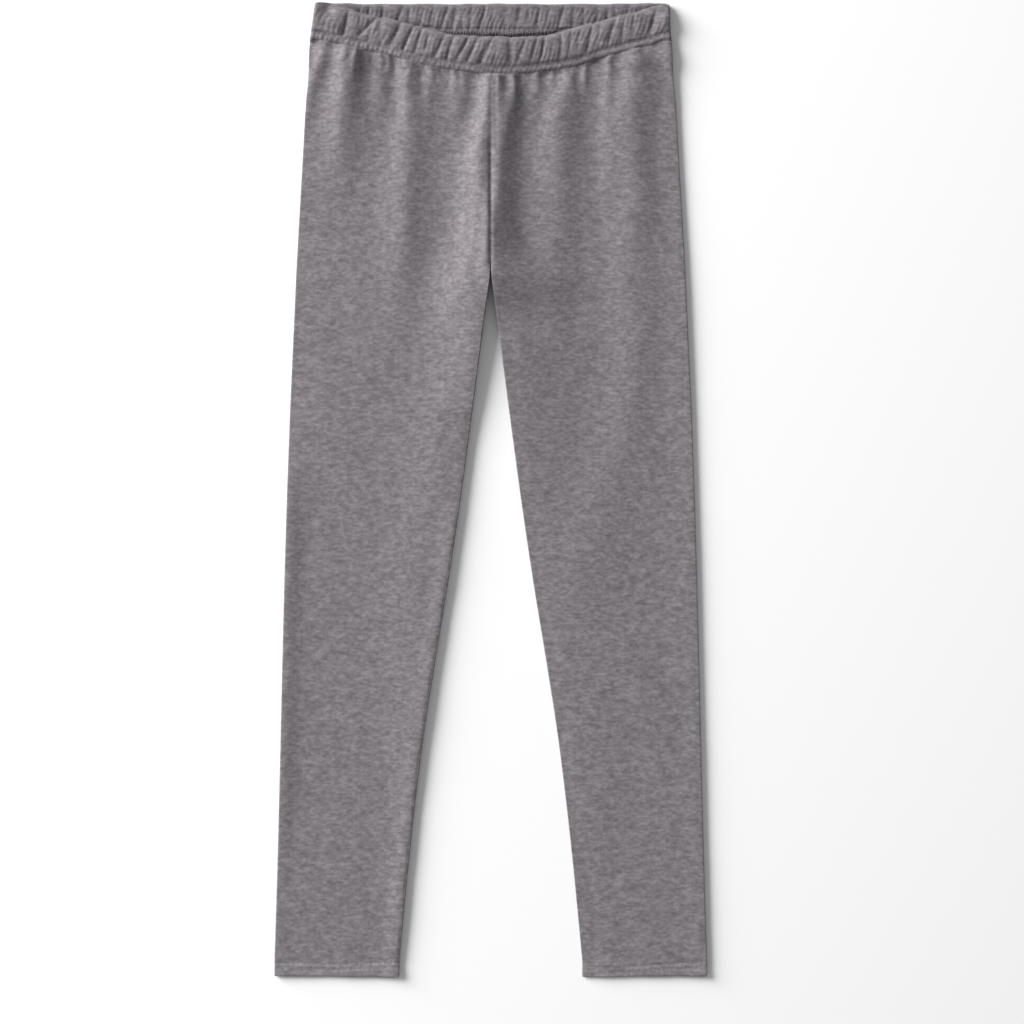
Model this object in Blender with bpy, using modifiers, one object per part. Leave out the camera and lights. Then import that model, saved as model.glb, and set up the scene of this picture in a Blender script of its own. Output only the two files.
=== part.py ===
"""Pull-on leggings in brushed jersey, laid flat with the front up.

The frame is in metres, with +Z up, +Y towards the waist and +X towards the wearer's left.
The origin is on the surface that the leggings lie on, at the middle of their length and width.
The sizes below are in millimetres, and a mesh's points are turned to metres as it is made.
"""

import math
from bisect import bisect_right
from typing import Callable, NamedTuple

import bmesh
import bpy

MM = 0.001

# Cloth and its layers
CLOTH = 1.4  # one layer of brushed jersey
SEAM_GAP = 0.3  # clear air between two pieces at a seam
CHORD_ROOM = 0.2  # more air where two pieces' facets cut a curved seam in different places
AIR = 1.3  # slack air between the front and back layers of a leg
CASING = 4.0  # cloth, elastic and cloth
HEM = 2.6  # cloth turned up on itself

# Heights along the length, from the middle of the leggings
CROTCH = 186.0
SHOULDER = 330.0  # below this the loft's rows are level
BACK_TOP = 419.0
BACK_STITCH = 389.0  # lower needle row of the back casing
HEM_TOP = -406.4
HEM_FOOT = -419.0
CASING_PAST_STITCH = 1.5  # casing below its lower needle row

# Rounding of the folded edges, seen from above
SIDE_ROUND = 2.6
INSEAM_ROUND = 2.2
CASING_ROUND = 4.3
HEM_ROUND = 2.9
SEAM_DIP = 1.1  # how far the front sinks into the centre seam
BACK_SEAM_RISE = 0.6  # how far the back lifts at the centre seam

# The front layer rests on the back layer, and nearer the waist on the back casing
REST_ON_CLOTH = CLOTH + SEAM_GAP + 0.1
REST_ON_CASING = CASING + SEAM_GAP
STEP_LOW = 372.0  # where the front layer starts to climb onto the back casing
STEP_HIGH = 386.0

# Fineness of the lofts
YOKE_ROWS = 5
FRONT_COLUMNS = 13
BACK_COLUMNS = 5
FOLD_SIDES = 6
END_SIDES = 3
HEM_COLUMNS = 5
SETTLE = 4  # rounds in which a point's place across and along settle on each other
HALF_TURN = math.pi


class LegLevel(NamedTuple):
    """The flat leg's two edges at one height, as distances from the centre line."""

    y: float
    outer: float
    inner: float


class BandPlace(NamedTuple):
    """The front casing's top edge and its lower needle row at one place across."""

    x: float
    top: float
    stitch: float


class BandDepth(NamedTuple):
    """The casing's or hem's build at one share of its depth, from its folded edge."""

    share: float
    thick: float
    lift: float  # how far the rounded edge lifts the face that lies lower
    puff: float  # how much of a gather's groove is cut here


class Gather(NamedTuple):
    """One groove where the elastic gathers the cloth; lean is its top's shift to +X."""

    x: float
    lean: float
    depth: float
    half_width: float


class Fold(NamedTuple):
    """A soft ridge (rise > 0) or trough (rise < 0) in the front of the legs."""

    head_x: float
    head_y: float
    foot_x: float
    foot_y: float
    rise: float
    half_width: float
    from_band: bool


OUTLINE = (
    LegLevel(y=-419.0, outer=187.0, inner=80.0),
    LegLevel(y=-357.0, outer=185.0, inner=74.3),
    LegLevel(y=-270.0, outer=182.5, inner=65.2),
    LegLevel(y=-184.0, outer=180.5, inner=54.0),
    LegLevel(y=-98.0, outer=178.5, inner=39.4),
    LegLevel(y=-12.0, outer=176.0, inner=26.5),
    LegLevel(y=74.0, outer=173.0, inner=15.0),
    LegLevel(y=130.0, outer=170.4, inner=7.6),
    LegLevel(y=160.0, outer=169.0, inner=4.0),
    LegLevel(y=186.0, outer=168.0, inner=0.0),
    LegLevel(y=290.0, outer=162.0, inner=0.0),
    LegLevel(y=354.0, outer=158.5, inner=0.0),
    LegLevel(y=392.0, outer=155.0, inner=0.0),
    LegLevel(y=419.0, outer=152.0, inner=0.0),
)

FRONT_BAND = (
    BandPlace(x=-153.0, top=418.7, stitch=391.0),
    BandPlace(x=-127.0, top=416.4, stitch=385.3),
    BandPlace(x=-105.0, top=410.5, stitch=381.0),
    BandPlace(x=-85.0, top=407.0, stitch=377.0),
    BandPlace(x=-61.0, top=400.2, stitch=370.0),
    BandPlace(x=-34.0, top=394.0, stitch=364.0),
    BandPlace(x=5.0, top=391.4, stitch=359.5),
    BandPlace(x=42.0, top=392.4, stitch=362.0),
    BandPlace(x=75.0, top=400.2, stitch=366.5),
    BandPlace(x=92.0, top=404.5, stitch=372.0),
    BandPlace(x=112.0, top=410.6, stitch=378.0),
    BandPlace(x=137.0, top=415.6, stitch=385.0),
    BandPlace(x=153.0, top=418.7, stitch=391.0),
)

CASING_BUILD = (
    BandDepth(share=0.0, thick=2.8, lift=1.0, puff=0.3),
    BandDepth(share=0.07, thick=3.8, lift=0.0, puff=0.8),
    BandDepth(share=0.4, thick=CASING, lift=0.0, puff=1.0),
    BandDepth(share=0.73, thick=3.7, lift=0.0, puff=0.9),
    BandDepth(share=0.79, thick=2.9, lift=0.0, puff=0.2),
    BandDepth(share=0.87, thick=3.3, lift=0.0, puff=0.1),
    BandDepth(share=0.95, thick=2.6, lift=0.0, puff=0.0),
    BandDepth(share=1.0, thick=2.6, lift=0.0, puff=0.0),
)

HEM_BUILD = (
    BandDepth(share=0.0, thick=2.2, lift=0.0, puff=0.0),
    BandDepth(share=0.3, thick=HEM, lift=0.0, puff=0.0),
    BandDepth(share=0.9, thick=HEM, lift=0.0, puff=0.0),
    BandDepth(share=1.0, thick=1.9, lift=0.7, puff=0.0),
)

FRONT_GATHERS = (
    Gather(x=-125.0, lean=8.0, depth=1.6, half_width=3.5),
    Gather(x=-108.0, lean=16.0, depth=1.5, half_width=3.0),
    Gather(x=-96.0, lean=9.0, depth=1.0, half_width=3.0),
    Gather(x=-85.0, lean=14.0, depth=1.6, half_width=3.0),
    Gather(x=-73.0, lean=14.0, depth=1.8, half_width=3.0),
    Gather(x=-54.0, lean=12.0, depth=1.0, half_width=2.4),
    Gather(x=-45.4, lean=16.0, depth=1.6, half_width=2.2),
    Gather(x=-36.8, lean=10.0, depth=1.6, half_width=2.2),
    Gather(x=-25.6, lean=16.0, depth=1.5, half_width=2.4),
    Gather(x=-16.2, lean=18.0, depth=1.2, half_width=2.4),
    Gather(x=-5.8, lean=18.0, depth=1.4, half_width=2.6),
    Gather(x=14.9, lean=3.0, depth=1.4, half_width=4.0),
    Gather(x=36.0, lean=7.0, depth=1.7, half_width=2.4),
    Gather(x=43.6, lean=7.5, depth=1.8, half_width=2.4),
    Gather(x=59.0, lean=4.0, depth=1.4, half_width=3.0),
    Gather(x=68.0, lean=2.0, depth=0.9, half_width=2.6),
    Gather(x=83.0, lean=5.0, depth=1.8, half_width=3.0),
    Gather(x=102.6, lean=7.5, depth=1.8, half_width=3.0),
    Gather(x=112.0, lean=3.0, depth=1.2, half_width=2.8),
    Gather(x=121.5, lean=3.0, depth=1.0, half_width=2.8),
    Gather(x=138.0, lean=5.0, depth=1.2, half_width=3.5),
)

BACK_GATHERS = (
    Gather(x=-108.0, lean=6.0, depth=1.0, half_width=3.0),
    Gather(x=-80.8, lean=10.0, depth=1.5, half_width=3.0),
    Gather(x=-43.0, lean=12.0, depth=1.6, half_width=2.6),
    Gather(x=-33.0, lean=8.0, depth=1.2, half_width=3.2),
    Gather(x=-8.4, lean=11.0, depth=1.6, half_width=3.0),
    Gather(x=22.4, lean=8.0, depth=1.5, half_width=3.0),
    Gather(x=39.0, lean=2.0, depth=1.5, half_width=3.0),
    Gather(x=58.8, lean=8.0, depth=1.2, half_width=3.0),
    Gather(x=74.0, lean=3.0, depth=1.0, half_width=3.4),
    Gather(x=99.0, lean=4.0, depth=1.2, half_width=3.0),
)

FOLDS = (
    Fold(-140.0, 384.0, -153.0, 335.0, rise=-1.1, half_width=7.0, from_band=True),
    Fold(-133.0, 380.0, -133.0, 312.0, rise=1.6, half_width=7.0, from_band=True),
    Fold(-113.5, 380.0, -113.5, 276.0, rise=-1.2, half_width=7.0, from_band=True),
    Fold(-88.0, 374.0, -80.0, 270.0, rise=1.4, half_width=9.0, from_band=True),
    Fold(-63.0, 368.0, -63.0, 330.0, rise=-1.1, half_width=7.0, from_band=True),
    Fold(-5.8, 357.0, -23.9, 250.0, rise=2.4, half_width=8.0, from_band=True),
    Fold(-18.0, 290.0, -52.0, 138.0, rise=1.6, half_width=9.0, from_band=False),
    Fold(22.6, 359.0, 7.0, 203.0, rise=-1.2, half_width=7.0, from_band=True),
    Fold(50.0, 360.0, 56.0, 268.0, rise=1.8, half_width=10.0, from_band=True),
    Fold(79.5, 371.0, 68.0, 181.0, rise=-1.2, half_width=8.0, from_band=True),
    Fold(99.0, 371.0, 94.0, 60.0, rise=1.5, half_width=11.0, from_band=True),
    Fold(134.0, 371.0, 134.0, 300.0, rise=-1.0, half_width=9.0, from_band=True),
)
FOLD_FADE = 0.4  # share of a fold's length over which it dies away


def ease(share):
    """A soft step from 0 to 1."""
    share = min(max(share, 0.0), 1.0)
    return share * share * (3.0 - 2.0 * share)


def mix(low, high, share):
    """The value that lies a share of the way from low to high."""
    return low + (high - low) * share


def spread(start, end, steps):
    """Evenly spaced values after start, up to and with end."""
    return [mix(start, end, step / steps) for step in range(1, steps + 1)]


def along(rows, key, column, at):
    """A table's column read at any place by a smooth curve through its rows."""
    keys = [getattr(row, key) for row in rows]
    values = [getattr(row, column) for row in rows]
    last = len(rows) - 1
    at = min(max(at, keys[0]), keys[last])
    index = min(bisect_right(keys, at) - 1, last - 1)

    def slope(row):
        before, after = max(row - 1, 0), min(row + 1, last)
        return (values[after] - values[before]) / (keys[after] - keys[before])

    span = keys[index + 1] - keys[index]
    t = (at - keys[index]) / span
    start = (2 * t**3 - 3 * t**2 + 1) * values[index] + (t**3 - 2 * t**2 + t) * span * slope(index)
    end = (3 * t**2 - 2 * t**3) * values[index + 1] + (t**3 - t**2) * span * slope(index + 1)
    return start + end


def outer_edge(y):
    """Distance of the leg's folded side from the centre line."""
    return along(OUTLINE, "y", "outer", y)


def inner_edge(y):
    """Distance of the inseam, or above the crotch of the centre seam, from the centre line."""
    return max(SEAM_GAP / 2, along(OUTLINE, "y", "inner", y))


def front_casing_foot(x):
    """Height along the length of the front casing's lower edge."""
    return along(FRONT_BAND, "x", "stitch", x) - CASING_PAST_STITCH


def front_rest(y):
    """Level of the front layer's under face."""
    climb = ease((y - STEP_LOW) / (STEP_HIGH - STEP_LOW))
    return mix(REST_ON_CLOTH, REST_ON_CASING, climb)


def fold_rise(x, y):
    """Sum of the folds' rises at a place on the front."""
    total = 0.0
    for fold in FOLDS:
        share = (fold.head_y - y) / (fold.head_y - fold.foot_y)
        fade = ease((1.0 - share) / FOLD_FADE)
        if not fold.from_band:
            fade *= ease(share / FOLD_FADE)
        middle = mix(fold.head_x, fold.foot_x, min(max(share, 0.0), 1.0))
        total += fold.rise * fade * math.exp(-(((x - middle) / fold.half_width) ** 2))
    return total


def front_level(x, y):
    """Level of the front layer's upper face."""
    return front_rest(y) + CLOTH + AIR + fold_rise(x, y)


class Strip(NamedTuple):
    """A place on the way round a leg: from the back's inner end to the front's."""

    across: float  # share of the way from the inner edge to the outer one
    turn: float  # 0 on the back, half a turn on the front, between them round the side
    end_turn: float  # how far round the inner end it is, from 0 to a quarter turn


def leg_strips():
    """Every place round a leg, in order, for one row of its loft."""
    ends = [HALF_TURN / 2 * step / END_SIDES for step in range(END_SIDES, 0, -1)]
    strips = [Strip(0.0, 0.0, end) for end in ends]
    strips += [Strip(step / BACK_COLUMNS, 0.0, 0.0) for step in range(BACK_COLUMNS)]
    strips += [Strip(1.0, HALF_TURN * step / FOLD_SIDES, 0.0) for step in range(FOLD_SIDES + 1)]
    strips += [Strip(1.0 - share, HALF_TURN, 0.0) for share in spread(0.0, 1.0, FRONT_COLUMNS)]
    strips += [Strip(0.0, HALF_TURN, end) for end in reversed(ends)]
    return strips


def leg_point(side, strip, height):
    """A point of the leg's outer face; height maps a share of the turn and x to a y."""
    y = SHOULDER
    for _ in range(SETTLE):
        start, end = inner_edge(y) + INSEAM_ROUND, outer_edge(y) - SIDE_ROUND
        x = mix(start, end, strip.across) + SIDE_ROUND * math.sin(strip.turn)
        y = height(side * x, strip.turn)
    level = front_level(side * min(x, end), y)
    z = level / 2 * (1.0 - math.cos(strip.turn))
    if strip.end_turn:
        closed = y < CROTCH - SEAM_GAP
        x = inner_edge(y) + INSEAM_ROUND * (1.0 - math.sin(strip.end_turn))
        bend = 1.0 - math.cos(strip.end_turn)
        if strip.turn:
            z -= bend * (level / 2 if closed else SEAM_DIP)
        else:
            z += bend * (level / 2 if closed else BACK_SEAM_RISE)
    return side * x, y, z


def leg_heights():
    """For each row of a leg's loft, the function that gives a point's place along the length."""

    def yoke_row(share):
        def height(x, turn):
            back = BACK_STITCH - CASING_PAST_STITCH - SEAM_GAP
            front = front_casing_foot(x) - SEAM_GAP - CHORD_ROOM
            return mix(SHOULDER, mix(back, front, turn / HALF_TURN), share)

        return height

    def level_row(y):
        return lambda x, turn: y

    crotch_foot = CROTCH - 36.0
    knee = -10.0
    levels = spread(SHOULDER, CROTCH, 4) + spread(CROTCH, crotch_foot, 3)
    levels += spread(crotch_foot, knee, 4) + spread(knee, HEM_TOP, 6)
    yoke = [yoke_row(1.0 - step / (YOKE_ROWS - 1)) for step in range(YOKE_ROWS)]
    return yoke + [level_row(y) for y in levels]


def mesh_from(name, points, faces, origin):
    """A mesh in metres about its own origin, with its faces turned outwards."""
    shape = bmesh.new()
    corners = [shape.verts.new([(value - base) * MM for value, base in zip(point, origin)]) for point in points]
    for face in faces:
        shape.faces.new([corners[index] for index in face])
    bmesh.ops.remove_doubles(shape, verts=shape.verts, dist=0.001 * MM)
    bmesh.ops.recalc_face_normals(shape, faces=shape.faces)
    mesh = bpy.data.meshes.new(name)
    shape.to_mesh(mesh)
    shape.free()
    mesh.shade_smooth()
    return mesh


def make_leg(name, side):
    """One leg: an open tube of cloth, slit above the crotch, folded flat at its side."""
    strips = leg_strips()
    heights = leg_heights()
    points = [leg_point(side, strip, height) for height in heights for strip in strips]
    count = len(strips)
    faces = []
    for row in range(len(heights) - 1):
        for column in range(count - 1):
            first = row * count + column
            corner = (first, first + 1, first + count + 1, first + count)
            faces.append(corner if side > 0 else corner[::-1])
    origin = (0.0, CROTCH, 0.0)
    leg = bpy.data.objects.new(name, mesh_from(name, points, faces, origin))
    wall = leg.modifiers.new("cloth", "SOLIDIFY")
    wall.thickness = CLOTH * MM
    wall.offset = -1.0
    wall.use_even_offset = True
    leg.location = [value * MM for value in origin]
    return leg


class Station(NamedTuple):
    """A cross-section of a flattened ring of cloth: a casing or a hem."""

    side: int  # -1 or +1 for the fold it is nearer to, 0 on the flat runs
    turn: float  # 0 on the back, half a turn on the front
    x: float
    lean: float
    groove: float


class Ring(NamedTuple):
    """What a flattened ring follows: its edges, its ends in length and its build."""

    low: Callable
    high: Callable
    folded: Callable  # y of the folded edge at x, for a turn
    sewn: Callable  # y of the sewn edge at x, for a turn
    rest: Callable  # level of the front layer's under face at y
    round: float
    build: tuple


def ring_point(ring, station, depth, outside):
    """A point of a ring's outer or inner face."""
    nominal = station.x + station.lean * (0.5 - depth.share)
    if station.side:
        nominal = (ring.high if station.side > 0 else ring.low)(ring.folded(station.x, station.turn))
    y = mix(ring.folded(nominal, station.turn), ring.sewn(nominal, station.turn), depth.share)
    thick = depth.thick - station.groove * depth.puff
    whole = ring.rest(y) + thick
    share = (1.0 - math.cos(station.turn)) / 2
    inward = depth.lift * (1.0 - share) if outside else thick - depth.lift * share
    z = whole * share + inward * math.cos(station.turn)
    if not station.side:
        return nominal, y, z
    edge = (ring.high if station.side > 0 else ring.low)(y)
    out = ring.round * (math.sin(station.turn) - 1.0) - inward * math.sin(station.turn)
    return edge + station.side * out, y, z


def gather_stations(gathers, turn):
    """Three stations for each gather: its two shoulders and its bottom."""
    stations = []
    for gather in gathers:
        for shift, groove in ((-1, 0.0), (0, gather.depth), (1, 0.0)):
            stations.append(Station(0, turn, gather.x + shift * gather.half_width, gather.lean, groove))
    return stations


def side_stations(side):
    """Stations round one side fold, from the back to the front."""
    return [Station(side, HALF_TURN * step / FOLD_SIDES, 0.0, 0.0, 0.0) for step in range(FOLD_SIDES + 1)]


def make_ring(name, ring, stations, origin):
    """A closed flattened ring, lofted through its stations' sections."""
    outside = [(depth, True) for depth in ring.build]
    inside = [(depth, False) for depth in reversed(ring.build)]
    section = outside + inside
    points = [ring_point(ring, station, depth, out) for station in stations for depth, out in section]
    count = len(section)
    faces = []
    for row in range(len(stations)):
        after = (row + 1) % len(stations)
        for column in range(count):
            next_column = (column + 1) % count
            faces.append(
                (row * count + column, after * count + column, after * count + next_column, row * count + next_column)
            )
    thing = bpy.data.objects.new(name, mesh_from(name, points, faces, origin))
    thing.location = [value * MM for value in origin]
    return thing


def make_casing(name):
    """The gathered waist casing, its front dipping below its back."""

    def folded(x, turn):
        return mix(BACK_TOP, along(FRONT_BAND, "x", "top", x), turn / HALF_TURN)

    def sewn(x, turn):
        return mix(BACK_STITCH - CASING_PAST_STITCH, front_casing_foot(x), turn / HALF_TURN)

    ring = Ring(
        low=lambda y: -outer_edge(y),
        high=outer_edge,
        folded=folded,
        sewn=sewn,
        rest=front_rest,
        round=CASING_ROUND,
        build=CASING_BUILD,
    )
    stations = gather_stations(BACK_GATHERS, 0.0) + side_stations(1)
    stations += list(reversed(gather_stations(FRONT_GATHERS, HALF_TURN)))
    stations += list(reversed(side_stations(-1)))
    return make_ring(name, ring, stations, (0.0, BACK_TOP, 0.0))


def make_hem(name, side):
    """A leg's turned-up hem, a flattened ring of double cloth."""
    low = (lambda y: inner_edge(y)) if side > 0 else (lambda y: -outer_edge(y))
    high = outer_edge if side > 0 else (lambda y: -inner_edge(y))
    ring = Ring(
        low=low,
        high=high,
        folded=lambda x, turn: HEM_TOP - SEAM_GAP,
        sewn=lambda x, turn: HEM_FOOT,
        rest=lambda y: HEM + SEAM_GAP,
        round=HEM_ROUND,
        build=HEM_BUILD,
    )
    start, end = low(HEM_FOOT) + 3 * HEM_ROUND, high(HEM_FOOT) - 3 * HEM_ROUND
    across = [start] + spread(start, end, HEM_COLUMNS)
    stations = [Station(0, 0.0, x, 0.0, 0.0) for x in across] + side_stations(1)
    stations += [Station(0, HALF_TURN, x, 0.0, 0.0) for x in reversed(across)]
    stations += list(reversed(side_stations(-1)))
    return make_ring(name, ring, stations, (mix(start, end, 0.5), HEM_TOP, 0.0))


def jersey(name):
    """A Principled material in the cloth's heather grey."""
    material = bpy.data.materials.new(name)
    material.use_nodes = True
    shader = material.node_tree.nodes["Principled BSDF"]
    shader.inputs["Base Color"].default_value = (0.216, 0.198, 0.212, 1.0)
    shader.inputs["Roughness"].default_value = 0.95
    shader.inputs["Metallic"].default_value = 0.0
    return material


def main():
    """Clears the file and makes the leggings' pieces."""
    for thing in list(bpy.data.objects):
        bpy.data.objects.remove(thing, do_unlink=True)
    collection = bpy.data.collections.new("leggings")
    bpy.context.scene.collection.children.link(collection)
    holder = bpy.data.objects.new("leggings", None)
    collection.objects.link(holder)
    pieces = (
        make_leg("right_leg", -1),
        make_leg("left_leg", 1),
        make_casing("waist_casing"),
        make_hem("right_hem", -1),
        make_hem("left_hem", 1),
    )
    for piece in pieces:
        piece.data.materials.append(jersey(piece.name + " jersey"))
        piece.parent = holder
        collection.objects.link(piece)


main()
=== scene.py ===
"""Looks of a pair of pull-on leggings in heather grey brushed jersey, laid flat with the front up.

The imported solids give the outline, and this script lays fine cloth shells on them. The front and the
back of the garment are two height maps over the plan: `Relief.front` and `Relief.back`. Every shell,
the casing, the legs and the hems, reads the same two maps, so the cloth runs on from piece to piece.
Lengths are in millimetres until a mesh is made; angles are in radians.
"""

import logging
import math
from dataclasses import dataclass, field
from enum import Enum
from typing import Callable, NamedTuple, Optional, Sequence

import bmesh
import bpy
import numpy as np
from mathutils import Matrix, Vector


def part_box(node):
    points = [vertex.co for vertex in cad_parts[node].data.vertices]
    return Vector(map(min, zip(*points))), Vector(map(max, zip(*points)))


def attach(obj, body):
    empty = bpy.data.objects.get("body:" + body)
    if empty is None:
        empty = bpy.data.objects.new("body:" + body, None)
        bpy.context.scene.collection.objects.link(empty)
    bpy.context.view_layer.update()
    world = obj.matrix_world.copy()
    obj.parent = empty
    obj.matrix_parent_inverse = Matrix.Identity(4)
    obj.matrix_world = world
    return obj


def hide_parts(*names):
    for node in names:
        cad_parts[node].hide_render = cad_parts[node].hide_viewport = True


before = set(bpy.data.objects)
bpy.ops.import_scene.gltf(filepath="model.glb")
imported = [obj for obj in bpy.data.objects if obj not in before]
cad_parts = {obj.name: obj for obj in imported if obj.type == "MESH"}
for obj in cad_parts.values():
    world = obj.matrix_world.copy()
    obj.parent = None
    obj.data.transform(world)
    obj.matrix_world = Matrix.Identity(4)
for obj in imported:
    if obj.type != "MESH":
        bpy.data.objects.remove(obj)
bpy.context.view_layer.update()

log = logging.getLogger("leggings")

MM = 0.001
HALF_TURN = math.pi
SETTLING_ROUNDS = 4  # a point's place across and its place along hang on each other, so both are refined
SHARP_ANGLE = math.radians(68.0)  # cloth is shaded smooth over every edge that bends less than this

Points = np.ndarray


def ease(share: Points) -> Points:
    """A soft step from 0 to 1."""
    share = np.clip(share, 0.0, 1.0)
    return share * share * (3.0 - 2.0 * share)


def mix(low: Points, high: Points, share: Points) -> Points:
    """The value that lies a share of the way from low to high."""
    return low + (high - low) * share


def ramp(at: Points, start: float, end: float) -> Points:
    """A soft step from 0 at the start to 1 at the end, whichever of the two is the higher."""
    return ease((at - start) / (end - start))


def bell(distance: Points, width: Points) -> Points:
    """A soft hump of height 1 and the given half width."""
    return np.exp(-((distance / width) ** 2))


def groove(above: Points, under: Points, over: Points) -> Points:
    """A hump of height 1 with one half width under the place where above is 0 and another over it."""
    return bell(above, np.where(above < 0.0, under, over))


def furrow(distance: Points, width: Points) -> Points:
    """The profile of a gather's groove: a narrow bottom between rounded shoulders."""
    return 0.82 * bell(distance, 1.15 * width) + 0.18 * np.exp(-np.abs(distance) / (1.5 * width))


def smooth_curve(at: Points, keys: Points, values: Points) -> Points:
    """A smooth curve through sample points, level beyond the first and the last.

    Args:
        at: where to read it.
        keys: rising places of the samples.
        values: the samples.

    Returns:
        The curve's values.
    """
    at = np.clip(at, keys[0], keys[-1])
    index = np.clip(np.searchsorted(keys, at, side="right") - 1, 0, len(keys) - 2)
    slopes = np.gradient(values, keys) if len(keys) > 2 else np.zeros(len(keys))
    span = keys[index + 1] - keys[index]
    t = (at - keys[index]) / span
    start = (2 * t**3 - 3 * t**2 + 1) * values[index] + (t**3 - 2 * t**2 + t) * span * slopes[index]
    end = (3 * t**2 - 2 * t**3) * values[index + 1] + (t**3 - t**2) * span * slopes[index + 1]
    return start + end


# ---------------------------------------------------------------------------------------------
# The outline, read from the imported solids
# ---------------------------------------------------------------------------------------------


class Slicer:
    """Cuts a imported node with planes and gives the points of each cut, in millimetres."""

    def __init__(self, node: str) -> None:
        """Reads the node's mesh.

        Args:
            node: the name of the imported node.
        """
        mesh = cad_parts[node].data
        points = np.empty(len(mesh.vertices) * 3)
        mesh.vertices.foreach_get("co", points)
        ends = np.empty(len(mesh.edges) * 2, dtype=int)
        mesh.edges.foreach_get("vertices", ends)
        self.points = points.reshape(-1, 3) / MM
        self.ends = ends.reshape(-1, 2)

    def cut(self, axis: int, at: float) -> Points:
        """Points where the node's edges cross the plane at one place on an axis.

        Args:
            axis: 0 for X, 1 for Y.
            at: where the plane stands on that axis.

        Returns:
            One row for each crossing.
        """
        start, end = self.points[self.ends[:, 0]], self.points[self.ends[:, 1]]
        before, after = start[:, axis] - at, end[:, axis] - at
        crossing = before * after < 0
        start, end = start[crossing], end[crossing]
        share = (before / (before - after + 1e-12))[crossing]
        return start + (end - start) * share[:, None]


class Stray(NamedTuple):
    """A stretch where a needle row strays from its line: its place across, half width and rise."""

    x: float
    wide: float
    rise: float


ROW_STRAYS: Sequence[Stray] = (Stray(92.0, 30.0, 1.1), Stray(-80.0, 34.0, -1.4))


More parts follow.
